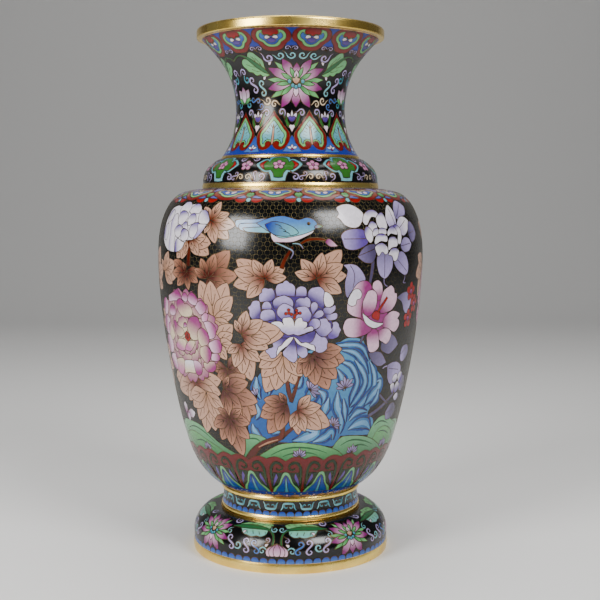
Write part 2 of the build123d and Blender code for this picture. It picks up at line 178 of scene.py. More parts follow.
class Coat:
    # one section's enamel: its profile from the frame, its drawing, then its cells and wires

    def __init__(self, node, degreeWidth, ground, crowned=True):
        self.node = node
        self.degreeWidth = degreeWidth  # width of a degree on the drawing, in millimetres
        self.half = 180 * degreeWidth
        self.readProfile(crowned)
        self.top = self.arc[-1]
        self.ground = enamel(ground)
        self.cells, self.lines = [], []

    def readProfile(self, crowned):
        # a crowned section's enamel turns in over its top as a level face
        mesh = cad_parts[self.node].data
        spots = np.empty(len(mesh.vertices) * 3)
        mesh.vertices.foreach_get("co", spots)
        corners = np.empty(len(mesh.loops), int)
        mesh.loops.foreach_get("vertex_index", corners)
        tris = spots.reshape(-1, 3)[corners.reshape(-1, 3)] * 1000
        normal = unit(np.cross(tris[:, 1] - tris[:, 0], tris[:, 2] - tris[:, 0]))
        outwards = unit(tris.mean(axis=1)[:, :2])
        radial = np.sum(normal[:, :2] * outwards, axis=1)
        level = np.ptp(tris[:, :, 2], axis=1) < 1e-4
        outside = (radial > 0.05) | ((normal[:, 2] > 0.5) & (radial > -0.2))
        shown = outside & ~level
        if crowned:
            shown |= level & (normal[:, 2] > 0.9)
        spots = tris[shown].reshape(-1, 3)
        points = np.stack([np.hypot(spots[:, 0], spots[:, 1]), spots[:, 2]], axis=1)
        points = np.unique(np.round(points, 3), axis=0)
        points = points[np.argsort(points[:, 1] - 0.2 * points[:, 0])]
        apart = np.r_[True, np.linalg.norm(np.diff(points, axis=0), axis=1) > 0.05]
        points = points[apart]
        span = np.linalg.norm(np.diff(points, axis=0), axis=1)
        slope = np.diff(points, axis=0) / span[:, None]
        lean = (slope[1:] * span[:-1, None] + slope[:-1] * span[1:, None]) / (span[1:] + span[:-1])[:, None]
        lean = np.vstack([2 * slope[0] - lean[0], lean, 2 * slope[-1] - lean[-1]])
        fine = []
        for i, length in enumerate(span):
            t = np.linspace(0, 1, max(3, int(length / 0.25)), endpoint=False)[:, None]
            fine.append(eased(points[i], points[i + 1], lean[i] * length, lean[i + 1] * length, t))
        fine = np.vstack(fine + [points[-1:]])
        self.arc = np.r_[0, np.cumsum(np.linalg.norm(np.diff(fine, axis=0), axis=1))]
        way = unit(np.gradient(fine, self.arc, axis=0))
        self.radius, self.height = fine[:, 0], fine[:, 1]
        self.normalOut, self.normalUp = way[:, 1], -way[:, 0]

    def at(self, angle, rise):
        return np.array([angle * self.degreeWidth, rise])

    def put(self, pairs):
        # (degrees, millimetres) to the drawing
        return [(p[0] * self.degreeWidth, *p[1:]) for p in pairs]

    def cell(self, shape, colour, tint=None, start=None, end=None, wired=True):
        # colour alone, or colour at start shading into tint at end
        shape = np.asarray(shape, float)
        first = enamel(colour) if isinstance(colour, str) else colour
        last = first if tint is None else enamel(tint) if isinstance(tint, str) else tint
        start = shape[0] if start is None else np.array(start, float)
        end = start + (0, 1) if end is None else np.array(end, float)
        self.cells.append((shape, first, last, start, end, wired))

    def line(self, points):
        # a free wire, with the number of cells that lie under it
        self.lines.append((np.asarray(points, float), False, len(self.cells)))

    def wrap(self, points, depth=0.0):
        # the drawing's points on the section, sunk by depth, and the way the surface faces
        turn = np.radians(points[:, 0] / self.degreeWidth)
        out = np.interp(points[:, 1], self.arc, self.normalOut)
        up = np.interp(points[:, 1], self.arc, self.normalUp)
        radius = np.interp(points[:, 1], self.arc, self.radius) - out * depth
        height = np.interp(points[:, 1], self.arc, self.height) - up * depth
        place = np.stack([radius * np.sin(turn), -radius * np.cos(turn), height], axis=1)
        facing = np.stack([out * np.sin(turn), -out * np.cos(turn), up], axis=1)
        return place / 1000, facing

    def cut(self, spacing):
        # cuts the drawing into triangles along every outline and finds the top cell of each
        shapes, origin = [], []
        for index, (shape, first, last, start, end, wired) in enumerate(self.cells):
            for shift in (-2 * self.half, 0, 2 * self.half):
                low, high = shape[:, 0].min() + shift, shape[:, 0].max() + shift
                if low < self.half and high > -self.half:
                    away = np.array([shift, 0])
                    shapes.append((shape + away, first, last, start + away, end + away, wired))
                    origin.append(index)
        columns = round(2 * self.half / spacing)
        rows = max(2, round(self.top / spacing))
        across = np.linspace(-self.half, self.half, columns + 1)
        points = [(x, 0.0) for x in across] + [(self.half, self.top * j / rows) for j in range(1, rows)]
        points += [(x, self.top) for x in across[::-1]]
        points += [(-self.half, self.top * j / rows) for j in range(rows - 1, 0, -1)]
        edges = [(i, (i + 1) % len(points)) for i in range(len(points))]
        taken = set()
        for shape, *_ in shapes:
            base = len(points)
            points += [tuple(p) for p in shape]
            edges += [(base + i, base + (i + 1) % len(shape)) for i in range(len(shape))]
            taken.update((int(x // 1), int(y // 1)) for x, y in shape)
        random.seed(5)
        for j in range(1, rows):
            for i in range(1, columns):
                x = across[i] + spacing * (0.25 if j % 2 else -0.25) + random.uniform(-0.2, 0.2)
                y = self.top * j / rows + random.uniform(-0.2, 0.2)
                cellX, cellY = int(x // 1), int(y // 1)
                if not any((cellX + dx, cellY + dy) in taken for dx in (-1, 0, 1) for dy in (-1, 0, 1)):
                    points.append((x, y))
        spots, _, faces, _, _, _ = delaunay_2d_cdt([Vector(p) for p in points], edges, [], 0, 1e-4, False)
        spots = np.array([tuple(v) for v in spots])
        faces = np.array(faces)
        middle = spots[faces].mean(axis=1)
        keep = (np.abs(middle[:, 0]) < self.half) & (middle[:, 1] > 0) & (middle[:, 1] < self.top)
        faces, middle = faces[keep], middle[keep]
        owner = np.full(len(faces), -1)
        for index, (shape, *_) in enumerate(shapes):
            low, high = shape.min(axis=0), shape.max(axis=0)
            near = np.nonzero(np.all((middle > low) & (middle < high), axis=1))[0]
            if len(near):
                owner[near[within(middle[near], shape)]] = index
        self.shapes, self.owner = shapes, owner
        self.origin = np.array(origin + [-1])
        self.plan = spots[faces]
        # the drawing's right edge is the same line as its left one
        right = np.nonzero(np.abs(spots[:, 0] - self.half) < 1e-3)[0]
        left = np.nonzero(np.abs(spots[:, 0] + self.half) < 1e-3)[0]
        renamed = np.arange(len(spots))
        for i in right:
            gaps = np.abs(spots[left, 1] - spots[i, 1])
            if gaps.min() < 1e-2:
                renamed[i] = left[gaps.argmin()]
        faces = renamed[faces]
        used, faces = np.unique(faces, return_inverse=True)
        self.spots, self.faces = spots[used], faces.reshape(-1, 3)

    def paint(self):
        # each triangle corner's colour
        first = np.array([s[1] for s in self.shapes] + [self.ground])
        last = np.array([s[2] for s in self.shapes] + [self.ground])
        start = np.array([s[3] for s in self.shapes] + [(0, 0)])
        way = np.array([s[4] - s[3] for s in self.shapes] + [(0, 1)])
        span = np.maximum(np.sum(way * way, axis=1), 1e-9)
        own = self.owner
        share = np.sum((self.plan - start[own][:, None]) * way[own][:, None], axis=2) / span[own][:, None]
        share = np.clip(share, 0, 1)[:, :, None]
        return first[own][:, None] * (1 - share) + last[own][:, None] * share

    def wireRuns(self):
        # the lines where two cells meet, chained from one meeting point to the next
        wired = np.array([s[5] for s in self.shapes] + [True])
        pairs = np.sort(np.concatenate([self.faces[:, [0, 1]], self.faces[:, [1, 2]], self.faces[:, [2, 0]]]), axis=1)
        side = np.tile(self.owner, 3)
        order = np.lexsort((pairs[:, 1], pairs[:, 0]))
        pairs, side = pairs[order], side[order]
        twice = np.nonzero((pairs[1:] == pairs[:-1]).all(axis=1))[0]
        one, two = side[twice], side[twice + 1]
        meets = (self.origin[one] != self.origin[two]) & wired[np.maximum(one, two)]
        links = {}
        for a, b in pairs[twice[meets]]:
            links.setdefault(int(a), []).append(int(b))
            links.setdefault(int(b), []).append(int(a))
        done, runs = set(), []
        ends = [v for v, to in links.items() if len(to) != 2]
        for begin in ends + list(links):
            for step in links[begin]:
                if (begin, step) in done:
                    continue
                run = [begin, step]
                done.update([(begin, step), (step, begin)])
                while len(links[run[-1]]) == 2 and run[-1] != run[0]:
                    onward = [v for v in links[run[-1]] if v != run[-2]]
                    if not onward or (run[-1], onward[0]) in done:
                        break
                    done.update([(run[-1], onward[0]), (onward[0], run[-1])])
                    run.append(onward[0])
                runs.append(run)
        found = []
        for run in runs:
            line = self.spots[run]
            # a run over the drawing's edge is carried on past it
            jumps = np.r_[0, np.cumsum(-np.round(np.diff(line[:, 0]) / (2 * self.half)))] * 2 * self.half
            line = line + np.stack([jumps, np.zeros(len(line))], axis=1)
            found.append((line, run[0] == run[-1] and len(run) > 3))
        return found

    def clearRuns(self, lines):
        # the stretches of each line that no later cell covers
        found = []
        if not lines:
            return found
        every = np.concatenate([points for points, *_ in lines])
        rank = np.concatenate([np.full(len(points), under) for points, _, under in lines])
        covered = np.zeros(len(every), bool)
        for index, cell in enumerate(self.cells):
            shape = cell[0]
            low, high = shape.min(axis=0), shape.max(axis=0)
            for shift in (-2 * self.half, 0, 2 * self.half):
                there = every - (shift, 0)
                near = np.nonzero(np.all((there > low) & (there < high), axis=1) & (rank <= index))[0]
                if len(near):
                    covered[near[within(there[near], shape)]] = True
        place = 0
        for points, closed, _ in lines:
            hidden = covered[place : place + len(points)]
            place += len(points)
            if closed:
                if not hidden.any():
                    found.append((np.vstack([points, points[:1]]), True))
                    continue
                first = int(np.argmax(hidden))
                points, hidden = np.roll(points, -first, axis=0), np.roll(hidden, -first)
            run = []
            for p, h in zip(points, hidden):
                if h:
                    if len(run) > 1:
                        found.append((np.array(run), False))
                    run = []
                else:
                    run.append(p)
            if len(run) > 1:
                found.append((np.array(run), False))
        return found

    def enamelPiece(self, name, depth):
        # the coat as a closed band: its drawn outside, a plain inside and a rim at each end
        outer, facing = self.wrap(self.spots, depth)
        tone = self.paint()
        columns = coats["insideColumns"]
        rows = max(2, round(self.top / coats["insideRow"]))
        ring = (np.arange(columns) / columns * 2 - 1) * self.half
        inside = []
        for j in range(rows + 1):
            circle = np.stack([ring, np.full(columns, self.top * j / rows)], axis=1)
            inside.append(self.wrap(circle, coats["insideDepth"])[0])
        base = len(outer)
        spots = np.vstack([outer] + inside)
        back = []
        for j in range(rows):
            for i in range(columns):
                a, b = base + j * columns + i, base + j * columns + (i + 1) % columns
                back += [(a, a + columns, b), (b, a + columns, b + columns)]
        for level, first, flip in ((0.0, base, False), (self.top, base + rows * columns, True)):
            edge = np.nonzero(np.abs(self.spots[:, 1] - level) < 1e-3)[0]
            edge = edge[np.argsort(self.spots[edge, 0])]
            places = self.spots[edge, 0]
            i = j = 0
            while i < len(edge) or j < columns:
                a, b = int(edge[i % len(edge)]), first + j % columns
                nextOuter = places[i + 1] if i + 1 < len(edge) else self.half if i < len(edge) else 9e9
                nextInner = ring[j + 1] if j + 1 < columns else self.half if j < columns else 9e9
                if nextOuter <= nextInner and i < len(edge):
                    i += 1
                    third = int(edge[i % len(edge)])
                else:
                    j += 1
                    third = first + j % columns
                back.append((a, third, b) if flip else (a, b, third))
        faces = np.vstack([self.faces, np.array(back)])
        mesh = bpy.data.meshes.new(name)
        mesh.vertices.add(len(spots))
        mesh.vertices.foreach_set("co", spots.ravel())
        mesh.loops.add(len(faces) * 3)
        mesh.loops.foreach_set("vertex_index", faces.ravel().astype(np.int32))
        mesh.polygons.add(len(faces))
        mesh.polygons.foreach_set("loop_start", np.arange(0, len(faces) * 3, 3, dtype=np.int32))
        mesh.update(calc_edges=True)
        mesh.shade_smooth()
        # the polished outside shades as one true surface, the hidden faces flat
        corners = spots[faces]
        flat = unit(np.cross(corners[:, 1] - corners[:, 0], corners[:, 2] - corners[:, 0]))
        shading = np.repeat(flat, 3, axis=0)
        shading[: len(self.faces) * 3] = facing[self.faces.ravel()]
        mesh.normals_split_custom_set([tuple(n) for n in shading])
        layer = mesh.color_attributes.new("enamel", "FLOAT_COLOR", "CORNER")
        colours = np.ones((len(faces) * 3, 4))
        colours[:, :3] = self.ground
        colours[: len(self.faces) * 3, :3] = tone.reshape(-1, 3)
        layer.data.foreach_set("color", colours.ravel().astype(np.float32))
        return made(name, mesh)

    def wirePiece(self, name, runs, width, sink):
        # brass wires along the runs: a low rounded ridge that reaches into the enamel
        spots, faces = [], []
        base = 0
        for line, closed in runs:
            if closed:
                line = line[:-1]
            if len(line) < 2:
                continue
            crest, facing = self.wrap(line)
            if closed:
                way = np.roll(crest, -1, axis=0) - np.roll(crest, 1, axis=0)
            else:
                way = np.gradient(crest, axis=0)
            side = unit(np.cross(facing, way))
            low = crest - facing * (sink / 1000)
            reach = side * (width / 2000)
            count = len(line)
            spots += [low + reach, crest, low - reach]
            i = np.arange(count if closed else count - 1)
            j = (i + 1) % count
            for one, two in ((0, count), (count, 2 * count)):
                faces.append(np.stack([base + one + i, base + two + i, base + two + j, base + one + j], axis=1))
            base += 3 * count
        mesh = bpy.data.meshes.new(name)
        mesh.from_pydata(np.vstack(spots).tolist(), [], np.vstack(faces).tolist())
        mesh.update()
        mesh.shade_smooth()
        return made(name, mesh)


def made(name, data):
    piece = bpy.data.objects.new(name, data)
    bpy.context.scene.collection.objects.link(piece)
    return piece


def node(tree, kind, at, **settings):
    fresh = tree.nodes.new(kind)
    fresh.location = at
    for key, value in settings.items():
        if key in fresh.inputs:
            fresh.inputs[key].default_value = value
        else:
            setattr(fresh, key, value)
    return fresh


def freshMaterial(name, **settings):
    # a material, its tree's link function and its surface node with these settings
    material = bpy.data.materials.new(name)
    material.use_nodes = True
    surface = material.node_tree.nodes["Principled BSDF"]
    for key, value in settings.items():
        surface.inputs[key].default_value = value
    return material, material.node_tree, material.node_tree.links.new, surface


def noise(tree, where, at, **settings):
    texture = node(tree, "ShaderNodeTexNoise", at, **settings)
    tree.links.new(where.outputs["Object"], texture.inputs["Vector"])
    return texture


def ramp(tree, at, source, low, lowTone, high, highTone):
    tone = node(tree, "ShaderNodeValToRGB", at)
    for stop, place, colour in zip(tone.color_ramp.elements, (low, high), (lowTone, highTone)):
        stop.position = place
        stop.color = (*colour, 1)
    tree.links.new(source, tone.inputs["Fac"])
    return tone


def bumps(tree, surface, broadHeight, fineHeight, broad, fine):
    # a broad bump under a fine one, each (place, strength, distance)
    link = tree.links.new
    (at, strength, distance), (fineAt, fineStrength, fineDistance) = broad, fine
    low = node(tree, "ShaderNodeBump", at, Strength=strength, Distance=distance)
    high = node(tree, "ShaderNodeBump", fineAt, Strength=fineStrength, Distance=fineDistance)
    link(broadHeight, low.inputs["Height"])
    link(fineHeight, high.inputs["Height"])
    link(low.outputs["Normal"], high.inputs["Normal"])
    link(high.outputs["Normal"], surface.inputs["Normal"])


enamelFinish = {
    "roughness": 0.2,
    "mottle": 0.10,  # how far the fired colour wanders
    "mottleScale": 420.0,
    "pitScale": 2600.0,
    "pitDepth": 0.03,
    "waveScale": 75.0,
    "waveDepth": 0.05,
}


def enamelMaterial(name, colour=None):
    # fired and polished enamel: slightly clouded, with pinholes and a soft wave;
    # without a colour of its own it takes the one painted on each cell
    f = enamelFinish
    material, tree, link, surface = freshMaterial(name, Roughness=f["roughness"])
    where = node(tree, "ShaderNodeTexCoord", (-1500, 0))
    if colour is None:
        source = node(tree, "ShaderNodeAttribute", (-900, 300), attribute_name="enamel").outputs["Color"]
    else:
        source = node(tree, "ShaderNodeRGB", (-900, 300)).outputs[0]
        source.default_value = (*enamel(colour), 1)
    cloud = noise(tree, where, (-1200, 100), Scale=f["mottleScale"], Detail=3.0, Roughness=0.6)
    gain = node(tree, "ShaderNodeMapRange", (-1000, 100), **{
        "From Min": 0.3, "From Max": 0.7, "To Min": 1 - f["mottle"], "To Max": 1 + f["mottle"],
    })
    link(cloud.outputs["Fac"], gain.inputs["Value"])
    clouded = node(tree, "ShaderNodeHueSaturation", (-600, 200))
    link(source, clouded.inputs["Color"])
    link(gain.outputs["Result"], clouded.inputs["Value"])
    link(clouded.outputs["Color"], surface.inputs["Base Color"])
    pits = noise(tree, where, (-1200, -200), Scale=f["pitScale"], Detail=2.0)
    wave = noise(tree, where, (-1200, -450), Scale=f["waveScale"], Detail=1.0)
    broad, fine = ((-850, -450), f["waveDepth"], 0.004), ((-600, -300), f["pitDepth"], 0.0004)
    bumps(tree, surface, wave.outputs["Fac"], pits.outputs["Fac"], broad, fine)
    return material


giltFinish = {
    "bright": (1.0, 0.73, 0.19),
    "worn": (0.86, 0.56, 0.12),
    "roughness": 0.24,
    "patchScale": 38.0,
    "dentScale": 60.0,
    "dentDepth": 0.05,
    "grainScale": 1500.0,
    "grainDepth": 0.10,
}


def giltMaterial():
    # fire gilding on copper rings: warm gold, rubbed darker in patches, hand-filed waviness
    g = giltFinish
    material, tree, link, surface = freshMaterial("gilt_rings", Metallic=1.0)
    where = node(tree, "ShaderNodeTexCoord", (-1300, 0))
    patches = noise(tree, where, (-1100, 200), Scale=g["patchScale"], Detail=4.0)
    tone = ramp(tree, (-800, 250), patches.outputs["Fac"], 0.36, g["worn"], 0.62, g["bright"])
    rub = node(tree, "ShaderNodeMapRange", (-800, 0), **{
        "To Min": g["roughness"] - 0.06, "To Max": g["roughness"] + 0.10,
    })
    link(patches.outputs["Fac"], rub.inputs["Value"])
    link(tone.outputs["Color"], surface.inputs["Base Color"])
    link(rub.outputs["Result"], surface.inputs["Roughness"])
    dents = noise(tree, where, (-1100, -250), Scale=g["dentScale"], Detail=2.0)
    grain = noise(tree, where, (-1100, -500), Scale=g["grainScale"], Detail=2.0)
    broad, fine = ((-700, -300), g["dentDepth"], 0.003), ((-450, -300), g["grainDepth"], 0.0003)
    bumps(tree, surface, dents.outputs["Fac"], grain.outputs["Fac"], broad, fine)
    return material


# each bare metal: its tarnished and bright tones and its roughness
metals = {
    "raised_copper": ((0.32, 0.13, 0.07), (0.62, 0.29, 0.16), 0.38),
    "border_wire_brass": ((0.40, 0.24, 0.09), (0.74, 0.50, 0.22), 0.34),
    "cloison_brass": ((0.02, 0.013, 0.008), (0.12, 0.075, 0.035), 0.42),
    "net_brass": ((0.05, 0.04, 0.018), (0.17, 0.13, 0.055), 0.46),
}


def metalMaterial(name):
    # drawn or hammered metal, darkened where the polish missed it
    dark, bright, roughness = metals[name]
    material, tree, link, surface = freshMaterial(name, Metallic=1.0, Roughness=roughness)
    where = node(tree, "ShaderNodeTexCoord", (-900, 0))
    tarnish = noise(tree, where, (-700, 0), Scale=240.0, Detail=3.0)
    tone = ramp(tree, (-450, 0), tarnish.outputs["Fac"], 0.35, dark, 0.65, bright)
    link(tone.outputs["Color"], surface.inputs["Base Color"])
    return material


def dress(piece, material):
    piece.data.materials.clear()
    piece.data.materials.append(material)


def finishNodes():
    # the CAD nodes that stay: rings, wires at the coats' ends, copper and inner enamel
    gilt = giltMaterial()
    copper = metalMaterial("raised_copper")
    brass = metalMaterial("border_wire_brass")
    inner = enamelMaterial("counter_enamel", "turquoise")
    for name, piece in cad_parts.items():
        if name.endswith("_ring"):
            material = gilt
        elif name.endswith("_border_wires"):
            material = brass
        elif name.endswith("_lining") or name == "base_enamel":
            material = inner
        elif name.endswith("_enamel"):
            continue
        else:
            material = copper
        for place in piece.material_slots:
            place.material = material
        if not piece.material_slots:
            piece.data.materials.append(material)


print("finishing the rings, copper and linings")
finishNodes()


def mirrored(half):
    # half an outline, from axis to axis, and its mirror image
    return half + [(-p[0], *p[1:]) for p in reversed(half) if abs(p[0]) > 1e-6]


def draw(coat, points, colour, tint=None, start=None, end=None, centre=0.0, flip=1, wired=True):
    # a smooth cell from (degrees, millimetres) about the centre angle
    shape = outline([((centre + flip * p[0]) * coat.degreeWidth, *p[1:]) for p in points])
    ends = [None if p is None else ((centre + flip * p[0]) * coat.degreeWidth, p[1]) for p in (start, end)]
    coat.cell(shape, colour, tint, *ends, wired=wired)


def band(coat, points, widths, colour, centre=0.0, flip=1, tint=None, wired=True):
    # a drawn stroke through (degrees, millimetres)
    line = [((centre + flip * p[0]) * coat.degreeWidth, p[1]) for p in points]
    coat.cell(stroke(line, widths), colour, tint, line[0], line[-1], wired)


def bar(coat, low, high, colour):
    # a plain belt right round the section
    across = np.linspace(-coat.half, coat.half, 145)
    shape = [(x, low) for x in across] + [(x, high) for x in across[::-1]]
    coat.cell(shape, colour)


def sixPoints(wide, tall):
    return [(wide * math.sin(t * math.pi / 3), tall * math.cos(t * math.pi / 3)) for t in range(6)]


def dot(coat, angle, rise, radius, colour, tint=None):
    at = coat.at(angle, rise)
    ring = sixPoints(radius, radius)
    coat.cell(moved(outline(ring, step=radius), at), colour, tint, at, at + (0, radius))


hookLine = [(-2, -1.3), (-1.25, -0.5), (-0.85, 0.45), (0, 0.95), (0.85, 0.45), (0.75, -0.4), (0.1, -0.6), (-0.25,
    -0.1), (0.1, 0.15)]
scrollLine = [(0.1, 0.8), (-0.35, 1), (-0.25, 1.55), (0.4, 1.75), (0.9, 1.15), (0.55, 0.45), (-0.55, -0.45),
    (-0.9, -1.15), (-0.4, -1.75), (0.25, -1.55), (0.35, -1), (-0.1, -0.8)]


def curl(coat, angle, rise, size, turn, flip, colour, shape=hookLine, thin=0.15):
    # a cloud scroll's stroke, thin at its ends
    line = moved(shape, coat.at(angle, rise), turn, size, flip).tolist()
    coat.cell(stroke(line, [w * size for w in (thin, 0.5, 0.6, 0.5, 0.35)], size * 0.45), colour)


def hook(coat, *place):
    curl(coat, *place)


def scroll(coat, *place):
    curl(coat, *place, scrollLine, 0.35)


def span(coat, base, tip):
    # where a petal starts on the drawing, which way it points and how long it is
    low, high = coat.at(*base), coat.at(*tip)
    turn = math.degrees(math.atan2(high[0] - low[0], high[1] - low[1]))
    return low, turn, float(np.hypot(*(high - low)))


def petal(coat, base, tip, width, colour, tint, lobes=3, pale=0.95, deep=0.25):
    # a petal from base to tip, both (degrees, millimetres), its outer edge in soft lobes
    low, turn, length = span(coat, base, tip)
    half = width / 2
    side = [(0, 0, 1), (0.55 * half, 0.22 * length), (0.95 * half, 0.55 * length), (0.98 * half, 0.74 * length)]
    crown = []
    for k in range(lobes):
        across = 1 - (2 * k + 1) / lobes
        crown.append((across * half * 0.82, length * (1.0 - 0.10 * abs(across) ** 2)))
        if k < lobes - 1:
            gap = 1 - 2 * (k + 1) / lobes
            crown.append((gap * half * 0.8, length * (0.93 - 0.08 * gap * gap), 1))
    mirror = [(-p[0], p[1]) for p in reversed(side[1:])]
    shape = outline(side + crown + mirror)
    ends = moved([(0, deep * length), (0, pale * length)], low, turn)
    coat.cell(moved(shape, low, turn), colour, tint, *ends)


def pointed(coat, base, tip, width, colour, tint, waist=0.55, deep=0.1, pale=0.9):
    # a leaflet or lotus petal with a sharp tip
    low, turn, length = span(coat, base, tip)
    half = width / 2
    points = [(0, 0, 1), (0.62 * half, 0.22 * length), (half, waist * length), (0.55 * half, 0.84 * length),
        (0, length, 1)]
    shape = outline(mirrored(points))
    ends = moved([(0, deep * length), (0, pale * length)], low, turn)
    coat.cell(moved(shape, low, turn), colour, tint, *ends)
    return low, turn, length


def leafSpray(coat, centre, tips, colour, tint, share=0.52, deep=0.05, pale=0.6):
    # a lobed leaf: leaflets from one heart, each with its midrib and a pair of veins
    for tip in tips:
        length = span(coat, centre, tip)[2]
        low, turn, length = pointed(coat, centre, tip, length * share, colour, tint, 0.5, deep, pale)
        coat.line(moved([(0, length * t / 8) for t in range(1, 8)], low, turn))
        for flip in (-1, 1):
            vein = [(flip * share * length * x, length * y) for x, y in ((0.02, 0.34), (0.14, 0.48), (0.24, 0.66))]
            coat.line(outline(moved(vein, low, turn), False))


neckDrawing = {
    "headCount": 13,
    "headCentre": -13,
    "lotusCount": 3,
    "lotusCentre": 5.5,
    "lappetCount": 10,
    "lappetCentre": 19.5,
}


def lipHead(coat, c):
    # a cloud head under the lip
    head = [(0, 89.6), (5.5, 90.4), (8.5, 93.6), (10.6, 97.2, 1), (13.2, 100.5), (13.4, 105.5), (11, 110.2),
        (6.5, 112.6), (0, 110.8, 1)]
    draw(coat, mirrored(head), "brick", centre=c)
    inner = [(0, 93.2), (4.4, 94.4), (6.6, 98, 1), (9.6, 100.8), (10.2, 105), (8.2, 109), (5, 109.8), (5.4, 106.4, 1),
        (0, 104.4, 1)]
    draw(coat, mirrored(inner), "mint", centre=c)
    pool = [(0, 95.4), (3, 96.4), (5.2, 99.8, 1), (7.6, 101.8), (8, 104.8), (6.6, 107.2), (5.6, 105.2, 1), (0, 103.6,
        1)]
    draw(coat, mirrored(pool), "royal", "sky", (0, 96), (0, 108), centre=c)
    for flip in (-1, 1):
        draw(coat, [(0.2, 101.2, 1), (1.6, 104), (4, 104.2), (4.6, 101.6), (2.4, 100.9)], "cream", "white", (0, 101),
            (4, 104), c, flip)
    draw(coat, mirrored([(0, 97.6), (2.8, 98.8), (3, 100.8), (0, 102.4, 1)]), "violet", "purple", (0, 98), (0, 102),
        centre=c)
    draw(coat, mirrored([(0, 103.4, 1), (2.2, 105.2), (4.6, 105.2), (5.4, 108.4), (3.4, 111), (0, 111.6)]), "red",
        "darkRed", (0, 104), (0, 112), centre=c)


def neckLappet(coat, c):
    # a pointed leaf standing on the neck's blue foot
    leaf = [(0, 39.2, 1), (3.2, 34.8), (7.2, 30.2), (10.8, 26), (13, 23.4, 1), (15.9, 19), (15.6, 13, 1), (13.4, 8.4),
        (9.2, 4.2), (4.6, 4.6), (1.6, 7.4), (0, 11.6, 1)]
    draw(coat, mirrored(leaf), "brick", centre=c)
    inner = [(0, 34.6, 1), (4.4, 30.4), (8.4, 25.8), (10.4, 23, 1), (12.6, 20.4), (13, 17), (12.2, 14, 1), (11.4,
        10.2), (8.6, 7), (6.2, 8), (6.6, 10.8), (4, 12.6), (1.2, 11.2, 1), (0, 12.6, 1)]
    draw(coat, mirrored(inner), "mint", centre=c)
    pale = [(0, 31, 1), (3.6, 27.4), (6.8, 23.2), (8.4, 21, 1), (10.4, 19), (10.8, 16.4), (9.4, 14.4, 1), (9.6, 11.4),
        (8, 9.4), (7.6, 11.8), (5, 14), (1.4, 13.4, 1), (0, 14.4, 1)]
    draw(coat, mirrored(pale), "aqua", "turquoise", (0, 26), (0, 8), centre=c)
    for flip in (-1, 1):
        for lean, rise in ((7.2, 12.6), (7.8, 15.4), (7.4, 18.2), (6.4, 21), (4.8, 23.8), (3, 26.4)):
            coat.line(coat.put([(c + flip * x, y) for x, y in ((0.8, rise - 2.2), (lean * 0.6, rise - 0.8),
                (lean, rise + 0.6))]))
    draw(coat, mirrored([(0, 28, 1), (0.8, 22), (1.1, 15), (0.9, 10.2), (0, 8.8)]), "salmon", "paleSalmon", (0, 10),
        (0, 28), centre=c)


def neckBetween(coat, c):
    # what stands between two lappets
    draw(coat, mirrored([(0, 18, 1), (3.2, 13), (5.4, 7), (8, 2.2, 1), (0, 1.6, 1)]), "royal", "sky", (0, 18), (0, 0),
        centre=c)
    for flip in (-1, 1):
        draw(coat, [(0.4, 25.5, 1), (3.4, 29), (5.2, 34), (8.4, 38.4), (11.8, 38), (12.4, 35.6), (10.4, 34.8),
            (9.8, 36), (7.8, 33), (6.4, 28.6), (3.2, 24.4)], "moss", "leaf", (1, 25), (9, 39), c, flip)
        hook(coat, c + flip * 9.6, 37.4, 2.9, 30, flip, "lilac")
        draw(coat, [(0.2, 33.6, 1), (2.2, 36), (4.6, 37), (5.2, 35), (3.6, 32)], "lilac", "white", (1, 33), (4, 37),
            c, flip)
    draw(coat, mirrored([(0, 29.2, 1), (2.4, 30.4), (3.8, 33), (1.8, 34.2), (0, 33.6, 1)]), "purple", "violet",
        (0, 29), (0, 34), centre=c)
    draw(coat, mirrored([(0, 33.2, 1), (1.3, 36), (0, 39.4, 1)]), "white", centre=c)
    draw(coat, mirrored([(0, 20.4, 1), (1.8, 23.4), (3, 25.6), (1.8, 27), (0, 26.6, 1)]), "white", "palePink",
        (0, 27), (0, 20), centre=c)
    for turn in (-62, 0, 62):
        at = coat.at(c, 5)
        shape = moved(outline(mirrored([(0, 0.2, 1), (1.25, 2.4), (0, 4.6, 1)])), at, turn)
        coat.cell(shape, "white", "lilac", at, at + (0, 5))
    dot(coat, c, 4.4, 1.1, "magenta")


